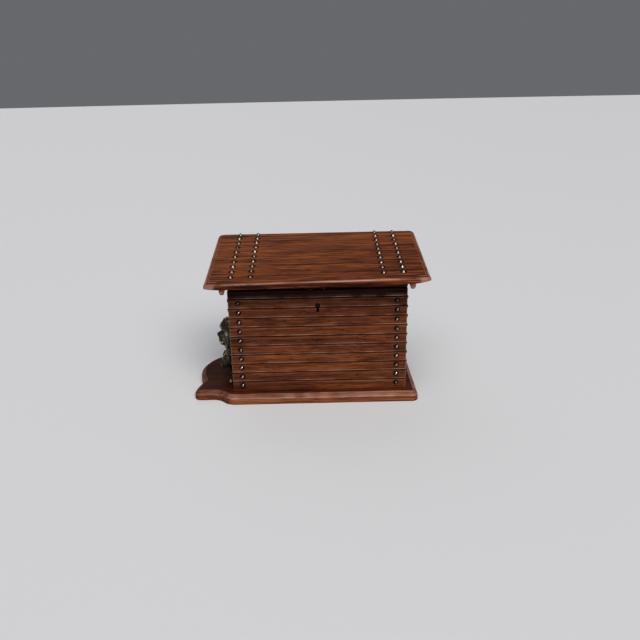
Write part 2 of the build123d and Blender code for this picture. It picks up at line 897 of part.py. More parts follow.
def humidifier_cover():
    """Perforated cover that closes the pan's open face."""
    cover = humidifier_room(humidifier_wall + fit_gap, humidifier_depth - humidifier_wall, humidifier_depth)
    y = humidifier_start + humidifier_width / 2
    depth = humidifier_depth - humidifier_wall / 2
    for i in range(vent_columns):
        for j in range(vent_rows):
            spot = ((i - (vent_columns - 1) / 2) * vent_pitch, y + (j - (vent_rows - 1) / 2) * vent_pitch, -depth)
            cover = cover - Pos(*spot) * Cylinder(vent_radius, 2 * humidifier_wall)
    return lid_plane * cover


def build():
    """Every node of the humidor by name."""
    left_x, right_x = hinge_middles()
    return {
        "base_plank": base_plank(),
        "front_wall": front_wall(),
        "back_wall": back_wall(),
        "left_wall": left_wall(),
        "right_wall": side_wall(1),
        "door_sill": door_sill(),
        "door_arch": door_arch(),
        "cast_head": cast_head(),
        "cast_paw_front": cast_paw(-1),
        "cast_paw_back": cast_paw(1),
        "side_knob": side_knob(),
        "front_studs": wall_studs("front"),
        "back_studs": wall_studs("back"),
        "left_studs": wall_studs("left"),
        "right_studs": wall_studs("right"),
        "floor_lining": floor_lining(),
        "front_lining": long_lining(-1),
        "back_lining": long_lining(1),
        "left_lining": short_lining(-1),
        "right_lining": short_lining(1),
        "lock_case": lock_case(),
        "lock_cover_plate": lock_cover_plate(),
        "lock_key_pin": lock_key_pin(),
        "lock_bolt": lock_bolt(),
        "lock_screws": group([place * screw() for place in selvedge_screw_places()]),
        "hinge_lower_leaf_left": hinge_leaf(left_x, False),
        "hinge_lower_leaf_right": hinge_leaf(right_x, False),
        "hinge_pin_left": hinge_pin(left_x),
        "hinge_pin_right": hinge_pin(right_x),
        "hinge_lower_screws": group([place * screw() for place in hinge_screw_places(False)]),
        "base_screws": group([place * base_screw() for place in base_screw_places()]),
        "casting_screws": group([place * screw(length=casting_screw_length) for place in casting_screw_places()]),
        "lid_board": lid_board(),
        "lid_front_rail": lid_front_rail(),
        "lid_batten_left": lid_side_batten(-1),
        "lid_batten_right": lid_side_batten(1),
        "lid_studs": lid_studs(),
        "hinge_upper_leaf_left": hinge_leaf(left_x, True),
        "hinge_upper_leaf_right": hinge_leaf(right_x, True),
        "hinge_upper_screws": group([place * screw() for place in hinge_screw_places(True)]),
        "lock_link_plate": link_plate(),
        "link_plate_screws": group([place * screw() for place in link_screw_places()]),
        "humidifier_case": humidifier_case(),
        "humidifier_pad": humidifier_pad(),
        "humidifier_cover": humidifier_cover(),
        "humidifier_screws": group([place * screw() for place in humidifier_screw_places()]),
    }


os.makedirs("parts", exist_ok=True)
for name, shape in build().items():
    export_step(shape, "parts/" + name + ".step")
hinge_axis = (lid_plane * Pos(0, hinge_run, hinge_drop)).position
print("lid hinge axis at y %.4f z %.4f" % (hinge_axis.Y, hinge_axis.Z))
print("lid back edge top at z %.2f" % (lid_plane * Pos(0, lid_length, lid_thickness)).position.Z)
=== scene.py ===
# %% [markdown]
# # A kennel-shaped humidor
#
# This lesson dresses a finished CAD model of a small oak humidor. The box is made like a timber
# kennel: walls scored into narrow boards, domed studs at the corners, one sloping lid, a moulded
# plank underneath, and a cast hound that looks out of a doorway onto a porch.
#
# The CAD model is loaded first and never changed. Everything added below is a surface computed
# with numpy, in metres, in the frame of the CAD: X to the right along the keyhole side, Y into
# the picture, Z up, with the origin on the table under the middle of the box.

import math

import bpy
import numpy as np
from mathutils import Matrix, Vector


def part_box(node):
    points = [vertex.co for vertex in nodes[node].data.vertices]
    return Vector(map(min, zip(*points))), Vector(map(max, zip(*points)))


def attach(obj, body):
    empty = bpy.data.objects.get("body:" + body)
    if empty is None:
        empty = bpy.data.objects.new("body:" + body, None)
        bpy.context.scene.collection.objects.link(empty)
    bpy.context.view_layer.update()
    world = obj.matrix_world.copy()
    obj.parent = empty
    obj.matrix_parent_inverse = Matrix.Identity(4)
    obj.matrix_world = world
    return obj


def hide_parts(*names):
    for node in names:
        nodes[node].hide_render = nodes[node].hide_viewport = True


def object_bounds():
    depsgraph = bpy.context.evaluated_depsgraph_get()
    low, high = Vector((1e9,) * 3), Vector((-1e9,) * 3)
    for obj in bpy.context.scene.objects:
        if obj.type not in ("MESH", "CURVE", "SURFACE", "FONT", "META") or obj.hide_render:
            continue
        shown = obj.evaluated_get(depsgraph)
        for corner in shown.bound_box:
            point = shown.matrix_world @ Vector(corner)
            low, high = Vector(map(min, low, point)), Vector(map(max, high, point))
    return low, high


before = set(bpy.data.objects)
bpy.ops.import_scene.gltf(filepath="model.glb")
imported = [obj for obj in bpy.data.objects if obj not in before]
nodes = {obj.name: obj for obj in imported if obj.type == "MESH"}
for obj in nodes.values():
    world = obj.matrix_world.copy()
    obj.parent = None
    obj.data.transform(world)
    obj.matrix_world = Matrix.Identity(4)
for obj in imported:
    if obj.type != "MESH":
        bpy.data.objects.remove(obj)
cad_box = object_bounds()
MM = 0.001

# %% [markdown]
# ## Sizes read from the frame
#
# A new piece has to sit exactly where its CAD node is. So the frame is asked for the node's
# corners, and what follows from them is named instead of being typed again.

# %% Sizes of the box, the lid and the base
wall_low, wall_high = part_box("front_wall")
base_low, base_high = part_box("base_plank")
HALF_WIDTH = wall_high.x
HALF_DEPTH = -wall_low.y
WALL = wall_high.y - wall_low.y
INNER_Y = HALF_DEPTH - WALL
BASE_TOP = base_high.z
FRONT_TOP = wall_high.z
BACK_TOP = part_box("back_wall")[1].z
BOARD = 11.1 * MM

SLOPE = math.radians(11.0)
LID_THICK = 7.5 * MM
EAVE = 139.5 * MM
LID_FRONT = -79.0 * MM
LID_LENGTH = (HALF_DEPTH - LID_FRONT) / math.cos(SLOPE)
LID_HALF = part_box("lid_board")[1].x
GAP = 0.3 * MM
WIND = 3.0 * MM


def clamp(values):
    return np.clip(values, 0, 1)


def as_points(*parts):
    """Coordinates of any shapes that go together, spread to one shape and stacked into points."""
    return np.stack(np.broadcast_arrays(*parts), axis=-1)


def parts_of(points):
    """The other way: one array for each coordinate."""
    return np.moveaxis(np.asarray(points, float), -1, 0)


def on_slope(points):
    """Lid coordinates (across, up the slope, off the slope) become frame coordinates by one turn about X."""
    across, run, off = parts_of(points)
    y = LID_FRONT + run * math.cos(SLOPE) - off * math.sin(SLOPE)
    return as_points(across, y, EAVE + run * math.sin(SLOPE) + off * math.cos(SLOPE))


def on_lid(points):
    """The same turn for the old board, which is in wind: its front right corner is up by WIND."""
    across, run, _ = parts_of(points)
    x, y, z = parts_of(on_slope(points))
    share = (across + LID_HALF) / (2 * LID_HALF) * (1 - run / LID_LENGTH)
    return as_points(x, np.maximum(y, cad_box[0][1]), z + WIND * clamp(share))


print("walls %.1f x %.1f mm, front top %.1f mm" % (2000 * HALF_WIDTH, 2000 * HALF_DEPTH, 1000 * FRONT_TOP))

# %% [markdown]
# ## The camera
#
# The photograph was matched by fitting a pinhole camera to the box's corners, board joints and
# studs. The fit gave a focal length of 635 pixels in a frame 640 wide, a camera 730 mm in front of
# the origin and 334 mm up, tipped down by 19.5 degrees, and turned a little about its own axis.
# Blender wants the focal length in millimetres of a 36 mm sensor, so the pixels are scaled by 36/640.

# %% Camera
PHOTO = 640
FOCAL = 635.0
PITCH, YAW, ROLL = (math.radians(a) for a in (19.49, 0.10, -1.23))
STAND = (1.04 * MM, -730.2 * MM, 334.4 * MM)


def linked(name, data):
    """A new object in the scene."""
    obj = bpy.data.objects.new(name, data)
    bpy.context.scene.collection.objects.link(obj)
    return obj


camera = linked("camera", bpy.data.cameras.new("camera"))
camera.data.sensor_width = 36.0
camera.data.lens = camera.data.sensor_width * FOCAL / PHOTO
camera.data.clip_start = 0.01
camera.data.clip_end = 100.0
ahead = Vector((math.sin(YAW) * math.cos(PITCH), math.cos(YAW) * math.cos(PITCH), -math.sin(PITCH)))
side = Vector((math.cos(YAW), -math.sin(YAW), 0.0))
above = side.cross(ahead)
right = side * math.cos(ROLL) + above * math.sin(ROLL)
top = above * math.cos(ROLL) - side * math.sin(ROLL)
camera.matrix_world = Matrix.Translation(STAND) @ Matrix((right, top, -ahead)).transposed().to_4x4()
bpy.context.scene.camera = camera
print("lens %.1f mm" % camera.data.lens)

# %% [markdown]
# ## Shader arithmetic in Python
#
# A procedural finish is mostly arithmetic on numbers that vary over the surface. Math nodes wired
# by hand are slow to write and hard to read, so a small class wraps a socket and overloads Python's
# operators. A second class holds one material and adds any other node through one method.

# %% Two small classes for materials
def operator(operation, order=1):
    """A method that adds one Math node. With order -1 it serves 1 - signal, where the number comes first."""
    return lambda *values: values[0].finish.node("Math", {"operation": operation}, *values[::order])


def adder(kind, **settings):
    """A method that adds one node of a kind and fills its sockets with what it is given."""
    return lambda self, *inputs: self.node(kind, settings, *inputs)


class Signal:
    """A socket that takes part in Python arithmetic."""

    def __init__(self, finish, socket):
        self.finish = finish
        self.socket = socket

    __add__ = __radd__ = operator("ADD")
    __mul__ = __rmul__ = operator("MULTIPLY")
    __sub__ = operator("SUBTRACT")
    __rsub__ = operator("SUBTRACT", order=-1)
    __truediv__ = operator("DIVIDE")
    __pow__ = operator("POWER")
    __abs__ = operator("ABSOLUTE")
    floor = operator("FLOOR")
    fraction = operator("FRACT")

    def between(self, low, high):
        """0 below low, 1 above high, smooth in between. With low above high it falls instead of rising."""
        ends = (low, high, 0.0, 1.0) if low < high else (high, low, 1.0, 0.0)
        return self.finish.node("MapRange", {"interpolation_type": "SMOOTHSTEP"}, self, *ends)


class Finish:
    """One material. set() feeds its surface shader, and node() adds any other node."""

    def __init__(self, name, slot="", **constants):
        self.slot = slot
        self.material = bpy.data.materials.new(name)
        self.material.use_nodes = True
        self.tree = self.material.node_tree
        self.shader = self.tree.nodes["Principled BSDF"]
        self.set(**constants)

    def node(self, kind, settings, *inputs, out=0):
        """Adds a node, applies its settings, then fills its enabled sockets in order with values or links."""
        made = self.tree.nodes.new("ShaderNode" + kind)
        for key, value in settings.items():
            setattr(made, key, value)
        for socket, value in zip([s for s in made.inputs if s.enabled], inputs):
            self.feed(socket, value)
        return Signal(self, [s for s in made.outputs if s.enabled][out])

    def feed(self, socket, value):
        if isinstance(value, Signal):
            self.tree.links.new(value.socket, socket)
        elif socket.type == "RGBA":
            socket.default_value = (*value, 1.0)
        else:
            socket.default_value = value

    def set(self, **sockets):
        """Base_Color becomes the socket Base Color, and so on."""
        for name, value in sockets.items():
            self.feed(self.shader.inputs[name.replace("_", " ")], value)
        return self

    # vector(x, y, z), shift(vector, vector), and mix and tint (share, colour, colour): mix goes from the
    # first colour to the second, and tint multiplies the first by the second.
    vector = adder("CombineXYZ")
    shift = adder("VectorMath", operation="ADD")
    mix = adder("Mix", data_type="RGBA")
    tint = adder("Mix", data_type="RGBA", blend_type="MULTIPLY")

    def place(self):
        """Object coordinates: frame coordinates in metres, because every mesh holds its own place."""
        return self.node("TexCoord", {}, out=3)

    def split(self, vector):
        return [Signal(self, s) for s in self.node("SeparateXYZ", {}, vector).socket.node.outputs]

    def noise(self, vector, scale, detail, rough=0.55):
        return self.node("TexNoise", {}, vector, scale, detail, rough)

    def fibres(self, vector, scales, detail, rough=0.55):
        """Noise with its own scale along each axis, so that round spots become long streaks."""
        stretched = self.node("VectorMath", {"operation": "MULTIPLY"}, vector, scales)
        return self.noise(stretched, 1.0, detail, rough)

    def ramp(self, tone, first, middle, last):
        """A colour read from a row of three, each given as (place, colour)."""
        colour = self.node("ValToRGB", {}, tone)
        row = colour.socket.node.color_ramp.elements
        row.new(middle[0])
        for stop, (place, shade) in zip(row, (first, middle, last)):
            stop.position = place
            stop.color = (*shade, 1.0)
        return colour

    def attribute(self, name):
        return self.node("Attribute", {"attribute_name": name}, out=2)

    def relief(self, height, depth, strength):
        """A Bump node: height is in units of depth metres."""
        normal = self.node("Bump", {}, strength, depth)
        self.feed(normal.socket.node.inputs["Height"], height)
        return normal


def dress(obj, finish):
    """Gives an object one material, in every slot that it has."""
    slots = obj.data.materials
    if not slots:
        slots.append(finish.material)
    for i in range(len(slots)):
        slots[i] = finish.material


print("material helpers ready")

# %% [markdown]
# ## Oak
#
# The oak is stained red-brown and waxed. It shows long pores that run with the grain, broad bands
# where the stain took more or less, and a lighter, pinker bloom on edges, partly where hands have
# rubbed and partly a painted highlight where edges catch the light. Stretching the coordinates along
# the grain turns plain noise into fibres, and end grain gets fine rings instead. The meshes below
# know where the wood is rubbed and where it carries a painted highlight, where it is grimy and where
# it is cut across, so they carry three values from 0 to 1, and the shader only mixes them in.

# %% The oak finish
DARK_OAK = (0.024, 0.0058, 0.0022)
RED_OAK = (0.108, 0.0270, 0.0085)
ORANGE_OAK = (0.235, 0.066, 0.015)
RUBBED_AND_HIGHLIT_OAK = (0.38, 0.20, 0.145)


def oak(name, grain, warmth=0.5, boards=False, shade=None, coarse=1.0, contrast=1.0):
    """Stained oak with its fibres along x, y or z. With boards, each scored board has its own tone.

    coarse widens the grain, for the lid's bolder figure.
    """
    finish = Finish(name, "oak", IOR=1.45, Specular_IOR_Level=0.08)
    place = finish.place()
    xyz = finish.split(place)

    def fibre(vector, along, across, *rest):
        """Noise stretched along the grain. along and across are in features per metre."""
        return finish.fibres(vector, [along if axis == grain else across / coarse for axis in "xyz"], *rest)

    board_tone = 0.0
    if boards:
        index = ((xyz[2] - BASE_TOP) / BOARD).floor()
        jump = finish.node("TexWhiteNoise", {"noise_dimensions": "1D"}, index)
        board_tone = (jump - 0.5) * 0.22
        place = finish.shift(place, finish.vector(index * 0.37, index * 0.21, 0.0))

    wander = (finish.noise(place, 11.0, 2.0) - 0.5) * 0.010
    bent = finish.shift(place, finish.vector(0.0, wander, wander))
    bands = fibre(bent, 4.0, 70.0, 3.0)
    streaks = fibre(bent, 8.0, 420.0, 3.0, 0.6)
    fibres = fibre(bent, 30.0, 1000.0, 4.0, 0.65)
    pores = fibre(bent, 60.0, 1300.0, 2.0)
    blotch = finish.noise(place, 30.0, 3.0)

    figure = (bands - 0.5) * 0.9 + (streaks - 0.5) * 1.7 + (fibres - 0.5) * 1.3 + (blotch - 0.5) * 0.5
    end = finish.attribute("end")
    rings = finish.fibres(bent, (60.0, 60.0, 900.0), 2.0)
    dots = finish.noise(place, 2600.0, 2.0)
    across_grain = (rings - 0.5) * 0.7 + (dots - 0.5) * 0.5 + (blotch - 0.5) * 0.3 - 0.08
    tone = (figure * contrast + board_tone) * (1 - end) + across_grain * end + warmth
    colour = finish.ramp(tone, (0.0, DARK_OAK), (0.5, RED_OAK), (1.0, ORANGE_OAK))
    pore = pores.between(0.58, 0.66) * (1 - end)
    colour = finish.tint(pore * 0.8, colour, (0.30, 0.24, 0.22))
    if shade:
        colour = shade(finish, colour, xyz, streaks, fibre)
    mottle = streaks * (1 - end) + rings * end
    # the pale bloom: wear, and a painted highlight on edges that catch the light
    wear_and_highlight_share = finish.attribute("rub") * (mottle * 0.8 + blotch * 1.2).between(0.62, 1.05)
    colour = finish.mix(wear_and_highlight_share, colour, RUBBED_AND_HIGHLIT_OAK)
    colour = finish.tint(finish.attribute("grime"), colour, (0.10, 0.07, 0.06))
    height = (streaks * 0.6 + fibres * 0.5) * (1 - end * 0.8) - pore * 0.7
    return finish.set(
        Base_Color=colour,
        Roughness=0.50 + (fibres - 0.5) * 0.3 - wear_and_highlight_share * 0.16 + pore * 0.2,
        Coat_Weight=wear_and_highlight_share * 0.35,
        Normal=finish.relief(height, 0.00025, 0.8),
    )


print("oak ready")

# %% [markdown]
# ## Surfaces from arrays
#
# Every new piece below is a row of rings in one numpy array, and each ring is the same outline
# moved, grown or lifted. The faces between the rings follow a fixed rule, so they are worked out
# for all cells at once.

# %% Helpers that turn arrays into pieces
def circle(count):
    return np.linspace(0, 2 * math.pi, count, endpoint=False)


def around(angles):
    """Unit vectors (cos, sin) at the angles."""
    return as_points(np.cos(angles), np.sin(angles))


def closed_rings(rings):
    """A closed body as (points, faces): rings (m, n, 3) joined by quads, with a flat cap at each end.

    faces is a list of whole arrays with one face to a row. The signed volume is the sum of
    a . (b x c) / 6 over triangles. Where it is negative, the faces point inwards and are turned over.
    """
    m, n = rings.shape[:2]
    points = rings.reshape(-1, 3)
    i, j = np.arange(m - 1)[:, None] * n, np.arange(n)
    k = (j + 1) % n
    quads = as_points(i + j, i + k, i + n + k, i + n + j).reshape(-1, 4)
    caps = j[None, ::-1], j[None] + (m - 1) * n
    fans = [as_points(cap[0, 0], cap[0, 1:-1], cap[0, 2:]) for cap in caps]
    a, b, c = np.moveaxis(points[np.vstack([quads[:, :3], quads[:, [0, 2, 3]], *fans])], 1, 0)
    way = 1 if np.sum(a * np.cross(b, c)) > 0 else -1
    return points, [faces[:, ::way] for faces in (quads, *caps)]


def mesh_of(name, bodies):
    """One mesh that holds several (points, faces) bodies."""
    starts = np.cumsum([0] + [len(points) for points, _ in bodies])
    faces = [(block + start).tolist() for start, (_, blocks) in zip(starts, bodies) for block in blocks]
    mesh = bpy.data.meshes.new(name)
    mesh.from_pydata(np.concatenate([points for points, _ in bodies]).tolist(), [], sum(faces, []))
    return mesh


def piece(name, bodies, body, finish, sharp=None, **marks):
    """Closed bodies as one object with point attributes, which rides on a CAD body in its node's place."""
    mesh = mesh_of(name, bodies)
    for key, values in marks.items():
        layer = mesh.attributes.new(key, "FLOAT", "POINT")
        layer.data.foreach_set("value", np.asarray(values, np.float32).ravel())
    mesh.validate()
    mesh.polygons.foreach_set("use_smooth", np.ones(len(mesh.polygons), bool))
    obj = linked(name, mesh)
    dress(obj, finish)
    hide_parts(name)
    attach(obj, body)
    if sharp:
        crisp(obj, sharp)
    print("made", name, len(mesh.vertices), "points")
    return obj


def waver(seed, *axes):
    """Smooth noise between about -1 and 1: sine waves of random directions, lengths and phases, added up."""
    draw = np.random.default_rng(seed)
    total = 0.0
    for octave in range(7):
        reach = 1.7**octave
        turn = sum(axis * draw.normal() * reach for axis in axes)
        total = total + np.sin(turn + draw.uniform(0, 2 * math.pi)) / reach**0.8
    return total / 2.2


def bell(distance, width):
    """exp(-(distance / width)^2)."""
    return np.exp(-((distance / width) ** 2))


def eased(distance, radius):
    """How far a rounded corner falls back at a distance from the edge: r - sqrt(r^2 - (r - d)^2)."""
    seen_through_keyhole = np.clip(radius - distance, 0.0, radius)
    return radius - np.sqrt(radius**2 - seen_through_keyhole**2)


def crisp(obj, degrees):
    """Keeps the edges sharp where the surface turns by more than the angle."""
    obj.data.set_sharp_from_angle(angle=math.radians(degrees))


def cut_out(obj, cutters, degrees):
    """Takes each cutter's volume out of the piece with an exact Boolean, then keeps the new edges crisp."""
    for cutter in cutters:
        tool = linked("cutter", mesh_of("cutter", [cutter]))
        modifier = obj.modifiers.new("cut", "BOOLEAN")
        modifier.operation = "DIFFERENCE"
        modifier.solver = "EXACT"
        modifier.object = tool
        bpy.context.view_layer.update()
        graph = bpy.context.evaluated_depsgraph_get()
        cut = bpy.data.meshes.new_from_object(obj.evaluated_get(graph))
        used = obj.data, tool.data
        obj.modifiers.clear()
        obj.data = cut
        cut.name = used[0].name
        bpy.data.objects.remove(tool)
        for mesh in used:
            bpy.data.meshes.remove(mesh)
    crisp(obj, degrees)


def prism(outline, axis, start, end):
    """A flat outline in the two other axes, carried along one axis."""
    return closed_rings(np.stack([np.insert(outline, axis, at, axis=1) for at in (start, end)]))


def brick(low, high):
    """Closed box between two corners."""
    (x0, y0, z0), (x1, y1, z1) = low, high
    return prism(np.array([[x0, y0], [x1, y0], [x1, y1], [x0, y1]]), 2, z0, z1)


print("mesh helpers ready")

# %% [markdown]
# ## The scored walls
#
# Each wall is one board, scored to look like a stack of narrow ones: a deep groove at every joint
# and a fine scratched line just above it, which leaves a slim bead. A wall is its cross section,
# carried along it. The section's front edge steps in at each groove, and the depth and height of a
# groove wander a little, because it was cut by hand. On the front and the back the scoring also
# runs round the two ends, so the section is carried round them too.
#
# The two arrises of a groove are paler, partly where a hand has rubbed them and partly a painted
# highlight, while the groove's floor stays dark. Both are simple functions of the distance to the joint.

# %% Scored walls
GROOVE_HALF = 0.95 * MM
GROOVE_DEPTH = 1.3 * MM
SCORE_RISE = 2.6 * MM
SCORE_HALF = 0.45 * MM
SCORE_DEPTH = 0.28 * MM
END_ROUND = 0.9 * MM
ROW_STEPS = MM * np.array([
    -4.2, -2.4, -1.45, -1.0, -0.7, -0.35, 0.0, 0.35, 0.7, 1.0, 1.45, 2.1, 2.4, 2.62, 2.85, 3.2, 4.6, 5.8
])


def scoring(seed, along, up, top):
    """How deep a place of the face lies, how pale it is from wear and painted highlight, and how grimy.

    depth = groove + score + a slight crown on each board + old dents. The pale share, partly wear
    and partly a painted highlight, is high on the arrises beside a groove and on the bead; grime is
    high in the groove and the score.
    """
    board = (up - BASE_TOP) / BOARD
    joint = np.clip(np.round(board), 1, 99)
    drift = 0.16 * MM * waver(seed, along * 70, joint * 9.1)
    rise = up - BASE_TOP - joint * BOARD
    distance = rise - drift
    scored = up < top - 2 * MM
    unevenness = 1.0 + 0.22 * waver(seed + 1, along * 110, joint * 5.3)
    groove = GROOVE_DEPTH * unevenness * clamp(1 - np.abs(distance) / GROOVE_HALF) ** 0.8
    score = SCORE_DEPTH * clamp(1 - np.abs(rise - SCORE_RISE - 0.7 * drift) / SCORE_HALF)
    crown = 0.10 * MM * (2 * (board - np.floor(board)) - 1) ** 4
    dents = 0.30 * MM * clamp(waver(seed + 2, along * 260, up * 420) - 0.75)
    # pale arris above each groove: partly wear, partly a painted highlight
    arris_wear_and_highlight = bell(distance - 1.35 * MM, 0.40 * MM)
    under = bell(distance + 1.2 * MM, 0.30 * MM)
    bead = bell(distance - 3.1 * MM, 0.35 * MM)
    patchy = np.clip(0.50 + 0.60 * waver(seed + 5, along * 130, joint * 3.7), 0.08, 1)
    rub = clamp((0.86 * arris_wear_and_highlight + 0.25 * under + 0.15 * bead) * patchy)
    floor = clamp(1 - np.abs(distance) / (0.80 * MM)) ** 0.6
    line = clamp(1 - np.abs(distance - SCORE_RISE) / (0.4 * MM))
    return (groove + score) * scored + crown + dents, rub * scored, np.maximum(floor, 0.40 * line) * scored


def straight_path():
    """The outer face of a side wall: where it runs, its places (along, sunk), and which way is inward."""
    near = np.array([0.0, 0.18, 0.45, 0.75]) * MM - INNER_Y
    along = np.concatenate([near, np.linspace(MM - INNER_Y, INNER_Y - MM, 58), -near[::-1]])
    return along, np.column_stack([along, 0 * along]), np.tile([0.0, 1.0], (len(along), 1))


def wrapped_path():
    """The same for the front and the back: across one end, round the corner, along, and round again."""
    r = END_ROUND
    across = np.linspace(WALL, r, 7)[:-1]
    facing = around(np.linspace(0, math.pi / 2, 6))
    run = np.linspace(-HALF_WIDTH + r, 0, 62)[1:]
    path = np.vstack([as_points(-HALF_WIDTH, across), (r - HALF_WIDTH, r) - r * facing, as_points(run, 0.0)])
    inward = np.vstack([as_points(1.0, 0 * across), facing, as_points(0 * run, 1.0)])
    path, inward = (np.vstack([half, half[-2::-1] * [-1, 1]]) for half in (path, inward))
    along = np.cumsum(np.linalg.norm(np.diff(path, axis=0, prepend=path[:1]), axis=1))
    return along, path, inward


def scored_wall(name, seed, wraps, way, top):
    """A wall as rings along its path. A ring runs up the scored face, over the top and down the plain inside.

    Each point of the face is moved inwards by its depth. way is 1 where inside the box is up an axis.
    """
    along, path, inward = wrapped_path() if wraps else straight_path()
    joints = BASE_TOP + BOARD * np.arange(1, 20)
    rows = np.unique(np.concatenate([[BASE_TOP], (joints[:, None] + ROW_STEPS).ravel()]))
    rows = np.concatenate([rows[rows < top - 0.6 * MM], top - np.array([0.55, 0.25, 0.08, 0.0]) * MM])
    a, u = np.meshgrid(along, rows, indexing="ij")
    depth, rub, grime = scoring(seed, a, u, top)
    face = path[:, None, :] + inward[:, None, :] * (depth + eased(top - u, 0.6 * MM))[..., None]
    outer = np.concatenate([face, u[..., None]], axis=-1)
    hidden = np.clip(path[:, :1], -HALF_WIDTH + 2 * MM, HALF_WIDTH - 2 * MM)
    inner = as_points(hidden, WALL, np.array([top, BASE_TOP]))
    run, sunk, height = parts_of(np.concatenate([outer, inner], axis=1))
    sunk = way * (sunk - (HALF_DEPTH if wraps else HALF_WIDTH))
    rings = as_points(run, sunk, height) if wraps else as_points(sunk, run, height)
    rub = np.maximum(rub, np.abs(inward[:, :1] * inward[:, 1:]))
    rub, grime = (np.pad(values, ((0, 0), (0, 2))) for values in (rub, grime))
    end = np.abs(inward[:, :1]) * np.ones_like(rub)
    wood = oak_front if wraps else oak_side
    return piece(name, [closed_rings(rings)], "box", wood, rub=rub, grime=grime, end=end)


def wall_painted_shade(finish, colour, place, *_):
    """Darker towards both ends and towards the left. On the front, painted shade under the overhang: the
    eave's shadow on the top board, fading down the boards below it.
    """
    x, y, z = place
    front = y.between(-0.0565, -0.0580)
    for share, dark in (
        (abs(x).between(0.070, 0.100) * 0.28, (0.45, 0.40, 0.42)),
        (x.between(-0.02, -0.09) * 0.16, (0.50, 0.45, 0.45)),
        # painted shade: the overhang's soft shadow over the front's upper boards
        (front * z.between(0.094, 0.118) * 0.50, (0.50, 0.44, 0.42)),
        # painted shade: a deeper band of the same shadow on the first studded board
        (front * z.between(0.1095, 0.1135) * 0.40, (0.52, 0.47, 0.46)),
        # painted shadow of the eave on the front's top board
        (front * z.between(0.1215, 0.1235) * 0.97, (0.22, 0.19, 0.18)),
    ):
        colour = finish.tint(share, colour, dark)
    return colour


oak_front = oak("oak_front", "x", 0.46, boards=True, shade=wall_painted_shade, contrast=0.88)
oak_side = oak("oak_side", "y", 0.42, boards=True, shade=wall_painted_shade)
front_wall = scored_wall("front_wall", 11, True, 1, FRONT_TOP)
back_wall = scored_wall("back_wall", 23, True, -1, BACK_TOP)
left_wall = scored_wall("left_wall", 37, False, 1, BACK_TOP)
right_wall = scored_wall("right_wall", 41, False, -1, BACK_TOP)

# %% [markdown]
# ## Cutting the walls
#
# Three things are cut through the scored walls: the slope of the wall tops, the keyhole with the
# lock's pocket behind it, and the arched doorway. A Boolean is the natural tool, because it takes
# a plain solid away from any shape and leaves clean walls inside the cut.

# %% Slope, keyhole, lock pocket, doorway and hinge recesses
FIT = 0.05 * MM
PAST = 10 * MM
KEYHOLE_Z = FRONT_TOP - 18.6 * MM
EYE, SLOT, KEYHOLE = 2.8 * MM, 1.55 * MM, 8.0 * MM
LOCK_BACK = -INNER_Y
LOCK_DEPTH = 7.0 * MM
DOOR_HALF = 28.0 * MM
DOOR_SPRING = BASE_TOP + 88.0 * MM - DOOR_HALF
DOOR_BACK = -HALF_WIDTH + 4.0 * MM
LEAF_THICK = 1.1 * MM
LEAF_START = LID_LENGTH - 8.05 * MM


def slope_block(low_run, high_run, low_off, high_off, half, middle=0.0):
    """Closed box in the lid's own coordinates, turned into the frame."""
    points, faces = brick((middle - half, low_run, low_off), (middle + half, high_run, high_off))
    return on_slope(points), faces


def leaf_cuts(low_off, high_off):
    """The two recesses for the leaves of the hinges."""
    low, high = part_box("hinge_lower_leaf_left")
    half, middle = (high.x - low.x) / 2 + FIT, (high.x + low.x) / 2
    return [slope_block(LEAF_START, LID_LENGTH + PAST, low_off, high_off, half, s * middle) for s in (-1, 1)]


above_lid = slope_block(-0.1, 0.3, -GAP, 0.2, 0.3)
plate_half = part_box("lock_case")[1].x + FIT
cover_low, cover_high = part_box("lock_cover_plate")
pocket = brick(
    (-cover_high.x - FIT, LOCK_BACK - LOCK_DEPTH, cover_low.z - FIT),
    (cover_high.x + FIT, LOCK_BACK + PAST, FRONT_TOP + PAST),
)
ledge = brick(
    (-plate_half, LOCK_BACK - LOCK_DEPTH - FIT, FRONT_TOP - 1.2 * MM),
    (plate_half, LOCK_BACK + PAST, FRONT_TOP + PAST),
)
lean = math.asin(SLOT / EYE)
eye = EYE * around(np.linspace(lean - math.pi / 2, 1.5 * math.pi - lean, 28))
keyhole = np.vstack([eye, [[-SLOT, -KEYHOLE], [SLOT, -KEYHOLE]]]) + [0, KEYHOLE_Z]
keyhole = prism(keyhole, 1, -HALF_DEPTH - PAST, LOCK_BACK - LOCK_DEPTH + 0.1 * MM)
head = DOOR_HALF * around(np.linspace(0, math.pi, 40)) + [0, DOOR_SPRING]
doorway = np.vstack([head, [[-DOOR_HALF, BASE_TOP - MM], [DOOR_HALF, BASE_TOP - MM]]])
doorway = prism(doorway, 0, -HALF_WIDTH - PAST, DOOR_BACK)

cut_out(front_wall, [keyhole, pocket, ledge], 50)
cut_out(left_wall, [above_lid, doorway], 50)
cut_out(right_wall, [above_lid], 50)
cut_out(back_wall, [above_lid, *leaf_cuts(-GAP - LEAF_THICK, PAST)], 50)
print("walls cut")

# %% [markdown]
# ## The base plank and its porch
#
# The plank's outline is a rectangle with a porch at the doorway: an ogee leads out to a rounded
# ear, then comes a notch and a broad lobe. Each piece is an arc that starts in a known direction,
# and an arc like that is fixed by its start, its direction and its end. The moulded edge is the
# same outline, moved inwards and upwards in small steps.

